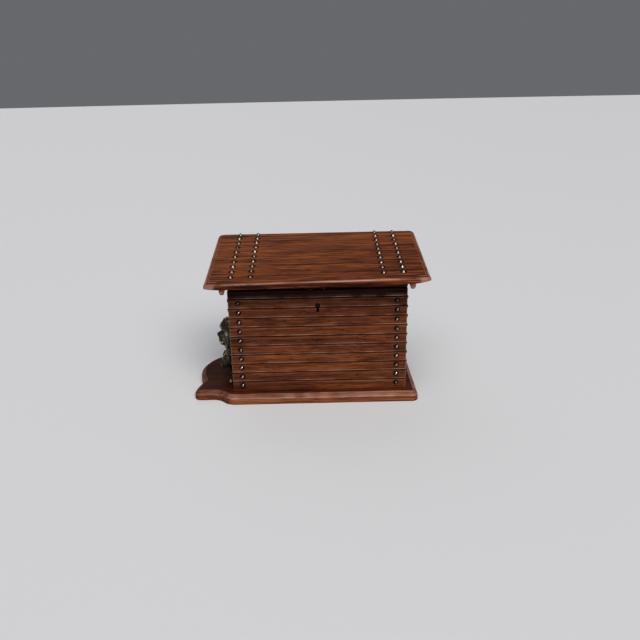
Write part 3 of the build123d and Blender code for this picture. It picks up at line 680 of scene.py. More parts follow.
# %% Base plank
def tangent_arc(start, direction, end, count):
    """Points on the arc from start to end that leaves start in the given direction, without the last one.

    The centre lies on the normal at start, at the distance r = |c|^2 / (2 c.n), where c is the chord.
    """
    start, end = np.array(start, float), np.array(end, float)
    direction = np.array(direction, float) / np.linalg.norm(direction)
    normal = np.array([-direction[1], direction[0]])
    chord = end - start
    radius = chord @ chord / (2 * chord @ normal)
    centre = start + radius * normal
    first = math.atan2(*(start - centre)[::-1])
    sweep = 2 * math.atan2(chord @ normal, chord @ direction)
    return centre + abs(radius) * around(first + np.linspace(0, sweep, count, endpoint=False))


def straight(start, end, count):
    return np.linspace(start, end, count, endpoint=False)


def rounded_sides(start, corners, bend):
    """Sides of a rectangle from start, anticlockwise, each followed by a quarter arc of bend points.

    A corner is (x, y, radius, points on the side that leads to it).
    """
    lines, ways = [], np.array([(1, 0), (0, 1), (-1, 0), (0, -1), (1, 0)])
    for way, turned, (x, y, r, count) in zip(ways, ways[1:], corners):
        leave, arrive = (x, y) - r * way, (x, y) + r * turned
        lines += [straight(start, leave, count), tangent_arc(leave, way, arrive, bend)]
        start = arrive
    return lines


def base_outline():
    """The plank's edge, anticlockwise from the left end of its front, and the notch of the porch."""
    right, back = base_high.x, base_high.y
    left, front, outer = -right, -back, base_low.x
    r, ear_r = 6.7 * MM, 7.0 * MM
    start = (-HALF_WIDTH + 3 * MM, front)
    ogee_end = (start[0] - 28 * MM, front + 13.8 * MM)
    middle = ((start[0] + ogee_end[0]) / 2, (start[1] + ogee_end[1]) / 2)
    ear_end = (outer + 1.8 * MM, ogee_end[1] + ear_r)
    ear_start = (ear_end[0] + ear_r, ogee_end[1])
    notch = (outer + 7.9 * MM, ogee_end[1] + 33.7 * MM)
    lobe = (outer, 12 * MM)
    joint = (left, back - r - 4 * MM)
    q, reach = 6.0 * MM, left - outer
    run, rise = reach - q, joint[1] - lobe[1]
    big = (run**2 + rise**2 - q**2) / (2 * reach)
    share = big / (big + q)
    slant = share * np.array([run - big, rise])
    lobe_end = (outer + big + slant[0], lobe[1] + slant[1])
    half_turn = 2 * math.atan2(start[1] - middle[1], start[0] - middle[0])
    return np.vstack([
        *rounded_sides(start, [(right, front, r, 60), (right, back, r, 40), (left, back, r, 60)], 8),
        straight((left, back - r), joint, 3),
        tangent_arc(joint, (0, -1), lobe_end, 10),
        tangent_arc(lobe_end, (-slant[1], slant[0]), lobe, 40),
        tangent_arc(lobe, (0, -1), notch, 18),
        [notch] * 7,
        tangent_arc(ear_end, (0, 1), notch, 14)[::-1],
        tangent_arc(ear_end, (0, -1), ear_start, 9)[1:],
        straight(ear_start, ogee_end, 8),
        tangent_arc(ogee_end, (1, 0), middle, 10),
        tangent_arc(middle, (math.cos(half_turn), math.sin(half_turn)), start, 10),
    ]), notch


def outline_normals(outline, notch):
    """Unit vectors that point outwards, from the chord between neighbours; they fan out at the notch."""
    chord = np.roll(outline, -1, 0) - np.roll(outline, 1, 0)
    length = np.linalg.norm(chord, axis=1, keepdims=True)
    normal = np.column_stack([chord[:, 1], -chord[:, 0]]) / np.maximum(length, 1e-12)
    first, last = np.flatnonzero(np.all(np.abs(outline - notch) < 1e-9, axis=1))[[0, -1]]
    share = np.linspace(0, 1, last - first + 1)[:, None]
    fan = normal[first - 1] * (1 - share) + normal[last + 1] * share
    normal[first : last + 1] = fan / np.linalg.norm(fan, axis=1, keepdims=True)
    return normal


outline, notch = base_outline()
normals = outline_normals(outline, notch)
BASE_EDGE = MM * np.array([
    (1.2, 0.0), (0.35, 0.12), (0.08, 0.5), (0.0, 1.2), (0.0, 4.0), (0.0, 6.4), (0.12, 7.0), (0.5, 7.55),
    (1.2, 8.15), (2.4, 9.0), (3.6, 9.9), (4.6, 10.75), (5.1, 11.2), (5.45, 11.45), (6.1, 11.5), (7.0, 11.5),
])
insets, heights = BASE_EDGE.T[..., None]
along = np.cumsum(np.linalg.norm(np.diff(outline, axis=0, append=outline[:1]), axis=1))
wobble = 0.14 * MM * clamp(0.5 + 0.5 * waver(5, along * 60))
flat = outline - normals * (insets + wobble * bell(heights - 7.4 * MM, 2.2 * MM))[..., None]
base_rings = as_points(*parts_of(flat), heights)
lip = bell(heights - 7.5 * MM, 0.7 * MM)
# the bevel is paler: partly wear, partly a painted sheen where it faces the light
bevel_wear_and_sheen = ((heights > 7.6 * MM) & (insets < 5.3 * MM)) * 0.33
patchy = clamp(0.7 + 0.45 * waver(6, along * 70))
# painted shade: less pale wear over the porch, which lies in the box's shade
porch_in_shade = clamp((-104 * MM - outline[:, 0]) / (14 * MM))
base_rub = clamp(np.maximum(0.85 * lip, bevel_wear_and_sheen) * patchy * (1 - 0.60 * porch_in_shade))
base_end = np.abs(normals[:, 0]) ** 3 * (insets < 5.5 * MM)


def base_shade(finish, colour, place, streaks, _):
    """The plank's upright edge has faded to orange. The porch and the plank's top are darkened with painted
    shade, where the box shades them.
    """
    x, _, z = place
    faded = z.between(0.0082, 0.0068) * streaks.between(0.3, 0.7) * (1 - finish.attribute("end"))
    colour = finish.mix(faded * 0.8, colour, (0.265, 0.088, 0.030))
    # painted shade over the porch
    colour = finish.tint(x.between(-0.096, -0.112) * 0.75, colour, (0.50, 0.42, 0.42))
    # painted shadow over the plank's top
    return finish.tint(z.between(0.0110, 0.0114) * 0.75, colour, (0.30, 0.24, 0.24))


oak_base = oak("oak_base", "x", 0.46, shade=base_shade)
piece("base_plank", [closed_rings(base_rings)], "box", oak_base, sharp=40, rub=base_rub, end=base_end)

# %% [markdown]
# ## The lid
#
# The lid is a board with a rounded nosing and a slightly raised field. Its front corners are
# nearly square and its back corners are well rounded. It is made like the base, in its own plane,
# and then turned onto the slope. The old board is in wind, with its front right corner lifted, and
# the undersides of both front corners are worn away. The back is cut for the upper hinge leaves.

# %% Lid board
STUD_COLUMNS = (72.2 * MM, 94.0 * MM)
STUD_ROWS = 10
LID_STUD_START = 16.0 * MM
LID_STUD_STEP = 13.1 * MM
LID_EDGE = MM * np.array([
    (6.0, 0.0), (1.0, 0.0), (0.3, 0.1), (0.05, 0.45), (0.0, 1.0), (0.0, 2.2), (0.0, 3.4), (0.12, 4.25),
    (0.5, 5.1), (1.1, 5.8), (1.9, 6.3), (2.8, 6.55), (3.6, 6.6), (4.1, 6.6), (4.45, 6.75), (4.65, 7.2),
    (5.0, 7.45), (5.6, 7.5),
])


def lid_outline(inset):
    """Rectangle with one corner radius at the front and another at the back, moved in by inset."""
    half, low, high = LID_HALF - inset, inset, LID_LENGTH - inset
    front_r, back_r = max(2 * MM - inset, 0.4 * MM), 7.5 * MM - inset
    corners = [
        (half, low, front_r, 90), (half, high, back_r, 60),
        (-half, high, back_r, 90), (-half, low, front_r, 60),
    ]
    return np.vstack(rounded_sides((-half + front_r, low), corners, 10))


insets, heights = LID_EDGE.T[..., None]
lid_x, lid_y = parts_of([lid_outline(inset) for inset in LID_EDGE[:, 0]])
lid_z = heights + 0.09 * MM * waver(8, lid_x * 60, lid_y * 60) * bell(heights - 5 * MM, 1.8 * MM)
corner_wear = clamp(1 - lid_y / (22 * MM)) * clamp((np.abs(lid_x) - 104 * MM) / (18 * MM)) ** 1.6
lift = 3.6 * MM * corner_wear * np.where(lid_x > 0, 1.0, 0.55)
lift[0] = 0
lid_z = lid_z + lift * clamp(1 - lid_z / (6 * MM))
# partly wear, partly a painted highlight: the bright line along the nosing, and the field's edge at the ends
nosing_wear_and_highlight = bell(heights - 5.75 * MM, 0.50 * MM)
field_edge_wear_and_highlight = 0.55 * (np.abs(heights - 7.3 * MM) < 0.16 * MM) * (np.abs(lid_x) > 108 * MM)
worn_off = 0.8 * (corner_wear > 0.15) * (heights < 6.5 * MM)
patchy = clamp(0.75 + 0.45 * waver(9, lid_x * 50, lid_y * 50))
lid_rub = np.maximum(np.maximum(nosing_wear_and_highlight, worn_off), field_edge_wear_and_highlight) * patchy
lid_rub[0] = 0
lid_end = clamp((np.abs(lid_x) + insets - LID_HALF) / (0.3 * MM) + 1) * (insets < 5.5 * MM)
lid_grime = 0.85 * ((insets > 3.9 * MM) & (insets < 4.55 * MM)) * np.ones_like(lid_x)


def lid_shade(finish, colour, place, _, fibre):
    """Long dark lines run across the lid, the wood warms towards the back, and a dark ring round each stud is
    partly old wax and partly painted shade.
    """
    x, y, z = place
    lines = fibre(finish.place(), 6.0, 420.0, 2.0)
    hair = fibre(finish.place(), 16.0, 900.0, 2.0)
    along_grain = 1 - finish.attribute("end")
    colour = finish.mix(y.between(-0.04, 0.06) * 0.28, colour, (0.25, 0.075, 0.022))
    colour = finish.tint(lines.between(0.52, 0.62) * along_grain * 0.95, colour, (0.24, 0.16, 0.14))
    colour = finish.mix(lines.between(0.43, 0.35) * along_grain * 0.65, colour, ORANGE_OAK)
    colour = finish.tint(hair.between(0.50, 0.58) * along_grain * 0.75, colour, (0.38, 0.30, 0.28))
    run = (y - (LID_FRONT - LID_THICK * math.sin(SLOPE))) / math.cos(SLOPE)
    inner, outer = STUD_COLUMNS
    aside = abs(abs(abs(x) - (outer + inner) / 2) - (outer - inner) / 2)
    rows = ((run - LID_STUD_START) / LID_STUD_STEP + 0.5).fraction()
    astern = abs(rows - 0.5) * LID_STUD_STEP
    off = (z - EAVE) * math.cos(SLOPE) - (y - LID_FRONT) * math.sin(SLOPE)
    on_top = off.between(4.5 * MM, 6.0 * MM) * run.between(8.5 * MM, 10.0 * MM)
    # a dark ring round each stud: partly old wax, partly painted shade
    stud_ring_wax_and_shade = ((aside * aside + astern * astern) ** 0.5).between(4.6 * MM, 3.4 * MM) * on_top
    colour = finish.tint(stud_ring_wax_and_shade * 0.80, colour, (0.20, 0.16, 0.14))
    return finish.tint(0.6, colour, (1.0, 0.89, 0.56))


oak_lid = oak("oak_lid", "x", 0.62, shade=lid_shade, coarse=1.8, contrast=1.40)
lid_body = closed_rings(on_lid(as_points(lid_x, lid_y, lid_z)))
lid_board = piece("lid_board", [lid_body], "lid", oak_lid, rub=lid_rub, grime=lid_grime, end=lid_end)
cut_out(lid_board, leaf_cuts(-PAST, LEAF_THICK), 40)

# %% [markdown]
# ## Battens and rail under the lid
#
# A batten stiffens each side overhang. Its front end has a small rounded nose, which shows under
# the eave as a hanging button. The section is a slim bar with rounded lower edges; carried up the
# slope, its depth grows by the nose's radius over the first few millimetres and then stays.

# %% Battens
BATTEN_HALF = 3.1 * MM
BATTEN_DROP = 8.5 * MM
BATTEN_NOSE = 3.0 * MM
BATTEN_START = 3.0 * MM
BATTEN_END = LID_LENGTH - 9.0 * MM


def batten(side):
    """Rings along the slope: each is a U of half width w and depth d = D - r + sqrt(r^2 - (r - s)^2)."""
    nose = BATTEN_NOSE * (1 - np.cos(np.linspace(0.0, math.pi / 2, 12)))
    run = np.concatenate([nose, np.linspace(BATTEN_NOSE + 1 * MM, BATTEN_END - BATTEN_START, 70)])[:, None]
    depth = BATTEN_DROP - eased(run, BATTEN_NOSE)
    width = BATTEN_HALF - 0.9 * MM * clamp(1 - run / BATTEN_NOSE) ** 3
    angles = np.linspace(0, math.pi, 17)
    across = np.sign(np.cos(angles)) * np.abs(np.cos(angles)) ** 0.55
    middle = side * (HALF_WIDTH + 0.4 * MM + BATTEN_HALF)
    bar = as_points(middle + width * across, BATTEN_START + run, -depth * np.sin(angles) ** 0.7)
    return closed_rings(on_lid(bar))


oak_batten = oak("oak_batten", "y", 0.62)
for name, sign in (("lid_batten_left", -1), ("lid_batten_right", 1)):
    body = batten(sign)
    low_end = bell(body[0][:, 1] - body[0][:, 1].min(), 5 * MM)
    piece(name, [body], "lid", oak_batten, sharp=50, rub=0.7 * low_end)

# %% [markdown]
# ## Studs
#
# The walls carry domed nails and the lid carries six-sided pyramid ones, all of dark nickel.
# Each dome carries a slanting streak and each pyramid a bright facet, the one that looks down the
# slope: partly polish from dusting and partly a painted highlight where the lamp reflects. Each head
# is darker towards its rim. A point attribute tells the shader where the highlight goes. One set of
# points per head is copied to every spot, where it leans a little, as nails driven by hand do.

# %% Domed and pyramid studs
STUD_RISE = 7.0 * MM
STUD_INSET = 11.3 * MM


def domed_head(radius, height):
    """Spherical cap on a low rim: z = sqrt(R^2 - r^2) - (R - h). Also how near the rim each point is."""
    ball = (radius**2 + height**2) / (2 * height)
    r = radius * np.sin(np.linspace(math.pi / 2, 0.12, 7))
    z = np.sqrt(ball**2 - r**2) - (ball - height) + 0.12 * MM
    r = np.concatenate([[radius * 0.93, radius], r])[:, None]
    z = np.concatenate([[-0.4 * MM, -0.15 * MM], z])[:, None]
    turn = circle(20)
    rim = clamp((r / radius - 0.72) / 0.28) * np.ones(len(turn))
    return closed_rings(as_points(r * np.cos(turn), r * np.sin(turn), z)), rim.ravel()


def pyramid_head(radius, height):
    """Six-sided pyramid with softened edges: rings of radius r / cos(angle to the middle of the facet)."""
    part = math.pi / 3
    within = np.linspace(-0.5, 0.5, 4, endpoint=False) * part
    turn = (np.arange(6)[:, None] * part - math.pi / 2 + within).ravel()
    reach = np.tile(np.cos(part / 2) / np.cos(np.clip(within, -0.42 * part, 0.42 * part)), 6)
    share = np.array([0.94, 1.0, 1.0, 0.93, 0.75, 0.55, 0.35, 0.18, 0.08])[:, None]
    lift = np.array([-0.4, -0.1, 0.15, 0.34, 0.78, 1.28, 1.80, 2.25, 2.42])[:, None] * height / 2.42
    r = radius * share * reach
    rim = 0.3 * clamp((share - 0.80) / 0.2) * np.ones(len(turn))
    return closed_rings(as_points(r * np.cos(turn), r * np.sin(turn), lift)), rim.ravel()


def dome_highlight(points, draw):
    """A dome's painted highlight, partly polish: a slanting streak, 1.2 - (along / a)^2 - (across / b)^2, a
    little off the middle.
    """
    slant = math.radians(50 + draw.normal(0, 14))
    x, y = (points[:, :2] / np.abs(points[:, 0]).max() - 0.06 - draw.normal(0, 0.07, 2)).T
    along = x * math.cos(slant) + y * math.sin(slant)
    across = y * math.cos(slant) - x * math.sin(slant)
    return clamp(1.2 - (along / 0.66) ** 2 - (across / 0.30) ** 2)


def facet_highlight(points, draw):
    """A pyramid's painted highlight, partly polish: the facet that looks down the slope, 1.5 - (turn / w)^4,
    less at the tip.
    """
    turn = np.arctan2(points[:, 0], -points[:, 1]) - draw.normal(0.04, 0.06)
    away = np.hypot(points[:, 0], points[:, 1]) / np.abs(points[:, 0]).max()
    return clamp(1.5 - (turn / 0.52) ** 4) * np.clip(away / 0.55, 0.05, 1) * draw.uniform(0.36, 0.53)


def studs(name, head, spots, axes, seed, body, polished, lean=4.0, odd=-1):
    """Copies a head to every spot, with its own lean and size. axes are an upright head's; odd is brassy."""
    draw = np.random.default_rng(seed)
    (points, faces), rim = head
    bodies, tones, polish = [], [], []
    for spot in spots:
        tilt = np.radians(draw.normal(0, lean, 2))
        turn = Matrix.Rotation(tilt[0], 3, "X") @ Matrix.Rotation(tilt[1], 3, "Y")
        size = 1 + draw.normal(0, 0.02)
        bodies.append(((points * size) @ np.array(turn).T @ np.array(axes, float) + spot, faces))
        tones.append(draw.uniform(0, 1))
        polish.append(polished(points, draw))
    yellow = np.arange(len(spots)) == odd
    return piece(
        name, bodies, body, nickel, rim=np.tile(rim, len(spots)), tone=np.repeat(tones, len(points)),
        polish=np.concatenate(polish), yellow=np.repeat(yellow, len(points)),
    )


def stud_metal():
    """Dark nickel, black and dull, with a painted highlight that is partly polish: bright and smooth where it
    falls, and painted shade under the eave.
    """
    finish = Finish("stud_nickel", "stud_steel", Metallic=1.0)
    place = finish.place()
    cloud = finish.noise(place, 420.0, 3.0)
    speck = finish.noise(place, 1500.0, 2.0)
    rim, tone, yellow, polish = (finish.attribute(n) for n in ("rim", "tone", "yellow", "polish"))
    _, y, z = finish.split(place)
    # painted shade: the top studs of the front, under the eave, stay dark
    eave_shade = y.between(-0.055, -0.058) * z.between(0.100, 0.117) * z.between(0.135, 0.128)
    # the painted highlight, partly polish, kept off the rim and out of the eave's painted shade
    polish_and_highlight_share = (polish * 1.1 - rim * 0.4 + (cloud - 0.5) * 0.5 - eave_shade * 0.55).between(0.15, 0.90)
    base = finish.mix(tone, (0.36, 0.315, 0.26), (0.50, 0.45, 0.38))
    base = finish.mix(yellow, base, (0.62, 0.47, 0.22))
    return finish.set(
        Base_Color=finish.mix(polish_and_highlight_share, (0.016, 0.012, 0.008), base),
        Roughness=0.50 - polish_and_highlight_share * 0.22 + (speck - 0.5) * 0.12,
        Normal=finish.relief(cloud + speck * 0.4, 0.00010, 0.6),
    )


nickel = stud_metal()
dome = domed_head(3.0 * MM, 2.3 * MM)
up = np.array([0, 0, 1])
stud_up = BASE_TOP + STUD_RISE + BOARD * np.arange(STUD_ROWS)
sides = {"front": (0, -1, 0), "back": (0, 1, 0), "left": (-1, 0, 0), "right": (1, 0, 0)}
for seed, (name, out) in enumerate(sides.items(), 50):
    across, out = np.cross(up, out), np.array(out)
    reach, aside = (HALF_DEPTH, HALF_WIDTH) if out[1] else (HALF_WIDTH, HALF_DEPTH)
    columns = [reach * out + s * (aside - STUD_INSET) * abs(across) for s in (-1, 1)]
    spots = [column + z * up for column in columns for z in stud_up]
    studs(name + "_studs", dome, spots, (across, up, out), seed, "box", dome_highlight)

sunk = [0.3 * MM] * (STUD_ROWS - 1) + [1.0 * MM]
lid_spots = [
    on_lid((x, LID_STUD_START + row * LID_STUD_STEP, LID_THICK - sunk[row]))
    for x in (-STUD_COLUMNS[1], -STUD_COLUMNS[0], *STUD_COLUMNS)
    for row in range(STUD_ROWS)
]
slope_axes = [(1, 0, 0), (0, math.cos(SLOPE), math.sin(SLOPE)), (0, -math.sin(SLOPE), math.cos(SLOPE))]
pyramid = pyramid_head(3.4 * MM, 3.3 * MM)
studs("lid_studs", pyramid, lid_spots, slope_axes, 71, "lid", facet_highlight, lean=2.5, odd=4)

# %% [markdown]
# ## The doorway's arch
#
# A half-round moulding frames the doorway. It is one profile, carried up one side, round the arch
# and down the other, and it stands on the threshold.

# %% Arch moulding
ARCH_BAND = 5.5 * MM
ARCH_RISE = 2.6 * MM
post = as_points(DOOR_HALF, np.linspace(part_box("door_sill")[1].z, DOOR_SPRING, 20))
head = around(np.linspace(0.06, math.pi - 0.06, 44))
outward = np.vstack([0 * post + [1, 0], head, 0 * post - [1, 0]])
path = np.vstack([post, DOOR_HALF * head + [0, DOOR_SPRING], post[::-1] * [-1, 1]])
bow = np.linspace(0, math.pi, 15)
reach = ARCH_BAND / 2 * (1 - np.cos(bow))
yz = path[:, None, :] + outward[:, None, :] * reach[:, None]
arch_rings = as_points(-HALF_WIDTH - ARCH_RISE * np.sin(bow) ** 0.55, *parts_of(yz))
piece(
    "door_arch", [closed_rings(arch_rings)], "box", oak("oak_trim", "z", 0.5), sharp=60,
    rub=np.tile(0.40 * np.sin(bow) ** 6, len(path)), grime=np.tile(0.5 * (1 - np.sin(bow) ** 0.5), len(path)),
)

# %% [markdown]
# ## The cast hound
#
# The hound's head and forelegs are small bronzed castings. The head is close to a ball, pushed out
# at the muzzle, brows and cheeks and pushed in at the eyes and the stop. So its surface is one
# radius for every direction from the skull's centre: an ellipsoid plus a sum of smooth hills and
# hollows. Two angles give a direction, how far it is off the middle of the face and how high it is
# on the profile. Eyes, ears and the chest are bodies of their own. The same hills say where a thumb
# would rub the metal bright, and the hollows where it stays black.

# %% Head
HEAD_Z = 63.0 * MM
SKULL = np.array([-HALF_WIDTH + 2.2 * MM, 0.0, HEAD_Z])
CAST_BACK = DOOR_BACK - 0.02 * MM
EYE_SIDE, EYE_LIFT = 0.33, 0.17
HILLS = (
    ((0.085, -0.11), (0.045, 0.035), -0.0013),  # nostrils
    ((0, 0.05), (0.09, 0.14), 0.0006),  # bridge of the nose
    ((0.24, -0.50), (0.17, 0.22), 0.0022),  # flews
    ((0, -0.88), (0.22, 0.15), 0.0042),  # chin
    ((0, -1.30), (0.60, 0.30), 0.0012),  # throat
    ((0, 0.14), (0.13, 0.12), -0.0012),  # stop
    ((0.27, 0.40), (0.19, 0.13), 0.0028),  # brows
    ((EYE_SIDE, EYE_LIFT), (0.15, 0.11), -0.0026),  # sockets
    ((0.34, 0.01), (0.13, 0.05), 0.0008),  # bags under the eyes
    ((0.80, -0.12), (0.28, 0.34), 0.0016),  # cheeks
    ((0, 0.95), (0.42, 0.40), 0.0016),  # crown
)


def hill(side, lift, at, size, height, power=1):
    """height * exp(-d^(2 power)), d being the distance from a place over the hill's width and height.

    side is the angle off the middle of the face and lift the angle up its profile. A place that is off
    the middle is mirrored. power 1 is a round hill, power 2 a flat-topped one with steep sides.
    """
    total = 0.0
    for sign in (-1, 1) if at[0] else (1,):
        square = ((side - sign * at[0]) / size[0]) ** 2 + ((lift - at[1]) / size[1]) ** 2
        total = total + height * np.exp(-(square**power))
    return total


def head_radius(ways):
    """Radius of the head in each direction, and how far its relief stands out, both in metres."""
    x, y, z = parts_of(ways)
    side, lift = np.arcsin(np.clip(y, -1, 1)), np.arctan2(z, -x)
    off = np.abs(side)
    skull = 1 / np.sqrt((x / 0.0195) ** 2 + (y / 0.0185) ** 2 + (z / 0.0207) ** 2)
    muzzle = hill(side, lift, (0, -0.36), (0.43, 0.52), 0.0052, 2)
    forehead = hill(side, lift, (0, 0.62), (0.72, 0.36), 0.0032, 2)
    nose = hill(side, lift, (0, -0.10), (0.17, 0.105), 0.0020, 2)
    lip = -0.66 - 0.10 * bell(off - 0.26, 0.14) + 0.6 * clamp(off - 0.42)
    mouth = -0.0019 * bell(lift - lip, 0.045) * (off < 0.75)
    split = -0.0008 * bell(side, 0.03) * bell(lift + 0.38, 0.14)
    rim = np.sqrt(((off - EYE_SIDE) / 0.125) ** 2 + ((lift - EYE_LIFT) / 0.090) ** 2)
    lids = 0.0012 * bell(rim - 1, 0.28) * (np.abs(lift) < 1.2)
    crease = -0.0009 * bell(off - 0.58 - 0.15 * (lift + 0.3), 0.05) * bell(lift + 0.3, 0.4)
    furrow = -0.0012 * bell(side, 0.045) * bell(lift - 0.55, 0.28)
    wrinkle = 0.0004 * np.sin(34 * lift + 9 * off) * bell(lift - 0.85, 0.30) * bell(side, 0.5)
    relief = mouth + split + lids + crease + furrow + wrinkle
    relief = relief + sum(hill(side, lift, *shape) for shape in HILLS)
    return skull + muzzle + forehead + nose + relief, relief - 0.6 * nose


def ball_body(centre, half, rows, columns):
    """Closed ellipsoid as rings between two small caps. half holds its three half axes."""
    lat = np.linspace(-math.pi / 2 + 0.12, math.pi / 2 - 0.12, rows)[:, None]
    lon = circle(columns)
    unit = as_points(np.cos(lat) * np.cos(lon), np.cos(lat) * np.sin(lon), np.sin(lat))
    return closed_rings(np.asarray(centre) + np.asarray(half) * unit)


def ear(sign):
    """A hanging leaf: its middle line falls from the crown, and its flat is turned half way to the front."""
    t, u = np.linspace(0, 1, 36)[:, None], circle(40)
    out = np.sin(math.pi / 2 * clamp(t / 0.5))
    width = 0.0064 * np.sin(np.pi * np.clip(t, 0.02, 0.985) ** 0.72) ** 0.65 + 0.0005
    thick = 0.0010 + 0.0007 * np.sin(np.pi * t) + 0.0003 * np.sin(9 * t + 3 * np.cos(u))
    along, away = width * np.cos(u), thick * np.sin(u) + 0.0012 * np.cos(u) ** 2 * t
    flat = math.radians(52)
    x = SKULL[0] - 0.0030 - 0.0088 * out - along * math.cos(flat) - away * math.sin(flat)
    y = sign * (0.0120 + 0.0062 * out - along * math.sin(flat) + away * math.cos(flat))
    z = HEAD_Z + 0.0158 - 0.0300 * t - 0.0010 * np.cos(u) * np.sin(np.pi * t)
    return closed_rings(as_points(x, y, z))


def hound_head():
    """Skull and muzzle, two eyes, two hanging ears and the chest, as closed bodies with their values of wear
    and, on the ears, painted glint.
    """
    lat, lon = np.linspace(-math.pi / 2 + 0.03, math.pi / 2 - 0.03, 170)[:, None], circle(200)
    ways = as_points(np.cos(lat) * np.cos(lon), np.sin(lat), np.cos(lat) * np.sin(lon))
    radius, relief = head_radius(ways)
    hair = 0.00018 * waver(61, ways[..., 1] * 24, ways[..., 2] * 24) * (ways[..., 0] > -0.80)
    points = SKULL + ways * (radius + hair)[..., None]
    points[..., 0] = np.minimum(points[..., 0], CAST_BACK)
    bodies = [closed_rings(points)]
    marks = [clamp(0.34 + relief / 0.0040).ravel()]
    for sign in (-1, 1):
        turn, rise = sign * EYE_SIDE, EYE_LIFT
        way = np.array([-math.cos(turn) * math.cos(rise), math.sin(turn), math.cos(turn) * math.sin(rise)])
        eye = ball_body(SKULL + way * (head_radius(way)[0] - 0.0007), (0.0021, 0.0021, 0.0019), 9, 14)
        leaf = ear(sign)
        # painted glint near the top of each ear, on its worn outer edge
        glint = 0.52 * bell(leaf[0][:, 2] - HEAD_Z - 0.0060, 0.0028)
        leaf_rub = np.clip(0.14 - (leaf[0][:, 0] + 0.107) / 0.016 + glint, 0, 0.72)
        bodies += [eye, leaf]
        marks += [np.full(len(eye[0]), 0.35), leaf_rub]
    chest, faces = ball_body((-HALF_WIDTH + 1.5 * MM, 0.0, 42.5 * MM), (0.0155, 0.0160, 0.0100), 40, 60)
    chest = chest + 0.0004 * waver(67, chest[:, 1] * 900, chest[:, 2] * 120)[:, None]
    chest[:, 0] = np.minimum(chest[:, 0], CAST_BACK)
    return bodies + [(chest, faces)], np.concatenate(marks + [np.full(len(chest), 0.30)])


def cast_bronze():
    """Bronzed casting: brown-black in the hollows, brassy and silvery where it is rubbed and where glints and
    highlights are painted.
    """
    finish = Finish("cast_bronze", "cast_metal", Metallic=0.78)
    place = finish.place()
    cloud = finish.noise(place, 160.0, 4.0)
    grain = finish.noise(place, 900.0, 3.0)
    bright = (finish.attribute("rub") + (cloud - 0.5) * 1.4 + (grain - 0.5) * 1.2).between(0.56, 0.96)
    brass = finish.mix(cloud.between(0.45, 0.62), (0.46, 0.33, 0.15), (0.62, 0.56, 0.45))
    return finish.set(
        Base_Color=finish.mix(bright, (0.036, 0.026, 0.014), brass),
        Roughness=0.52 - bright * 0.24 + (grain - 0.5) * 0.2,
        Normal=finish.relief(grain * 0.6 + cloud, 0.00030, 0.6),
    )


bronze = cast_bronze()
head_bodies, head_rub = hound_head()
piece("cast_head", head_bodies, "box", bronze, rub=head_rub)

# %% [markdown]
# ## Forelegs
#
# Each foreleg lies on the threshold and lifts its paw over the edge. It is a tube that narrows at
# the wrist and closes like a ball, and four toes, each an ellipsoid with a claw, stand out in front.
# The knob low on the same wall is turned metal: one profile, swung round its axis.

# %% Paws and knob
PAW_R = 10.3 * MM
PALM_TIP = -HALF_WIDTH - 17.5 * MM
PAW_LIFT = 5.5 * MM
TOES = ((-6.9, -1.6, 0.90), (-2.4, 0.0, 1.0), (2.4, 0.0, 1.0), (6.9, -1.6, 0.90))


def foreleg(middle_y, middle_z):
    """The tube, the toes and their claws, as closed bodies with their values of wear, painted highlight and
    painted shade.

    The tube's radius is R g(s) sqrt(1 - ((s - a) / (1 - a))^2) beyond s = a, with the girth g.
    """
    bend = np.sin(np.linspace(0.05, math.pi / 2 - 0.05, 22))
    s = np.concatenate([np.linspace(0, 0.66, 26), 0.67 + 0.33 * bend])[:, None]
    a = circle(56)
    girth = 0.88 - 0.10 * bell(s - 0.34, 0.16) + 0.10 * s + 0.018 * waver(83, a * 3.0, s * 14)
    radius = PAW_R * girth * np.sqrt(clamp(1 - (clamp(s - 0.67) / 0.332) ** 2))
    climb = clamp((s - 0.30) / 0.30)
    height = PAW_LIFT * climb**2 * (3 - 2 * climb) + np.maximum(radius * np.sin(a), -PAW_R * 0.985)
    tube = as_points(DOOR_BACK + (PALM_TIP - DOOR_BACK) * s, middle_y + radius * np.cos(a), middle_z + height)
    bodies = [closed_rings(tube)]
    # paler along the top of the leg, partly wear and partly a painted highlight, dark underneath
    marks = [np.tile(clamp(0.22 + 0.62 * np.sin(a) ** 3), len(s))]
    for aside, back, size in TOES:
        ahead = -HALF_WIDTH - (14.6 + back) * MM
        centre = np.array([ahead, middle_y + aside * MM, middle_z + PAW_LIFT - 2.6 * MM])
        half = size * np.array([5.6, 2.75, 5.6]) * MM
        toe, faces = ball_body(centre, half, 18, 24)
        height = (toe[:, 2] - centre[2]) / half[2]
        toe[:, 0] -= 0.8 * MM * clamp(1 - np.abs(height + 0.15) * 1.4)
        claw = ball_body(centre + [-half[0] + 0.2 * MM, 0, -2.0 * MM], (1.5 * MM, 0.6 * MM, 0.7 * MM), 8, 10)
        bodies += [(toe, faces), claw]
        # toes pale on top and dark underneath: partly wear, partly painted highlight and painted shade
        marks += [clamp(0.24 + 0.42 * height), np.full(len(claw[0]), 0.5)]
    return bodies, np.concatenate(marks)


for name in ("cast_paw_front", "cast_paw_back"):
    low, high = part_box(name)
    leg, leg_rub = foreleg((low.y + high.y) / 2, (low.z + high.z) / 2)
    piece(name, leg, "box", bronze, rub=leg_rub)

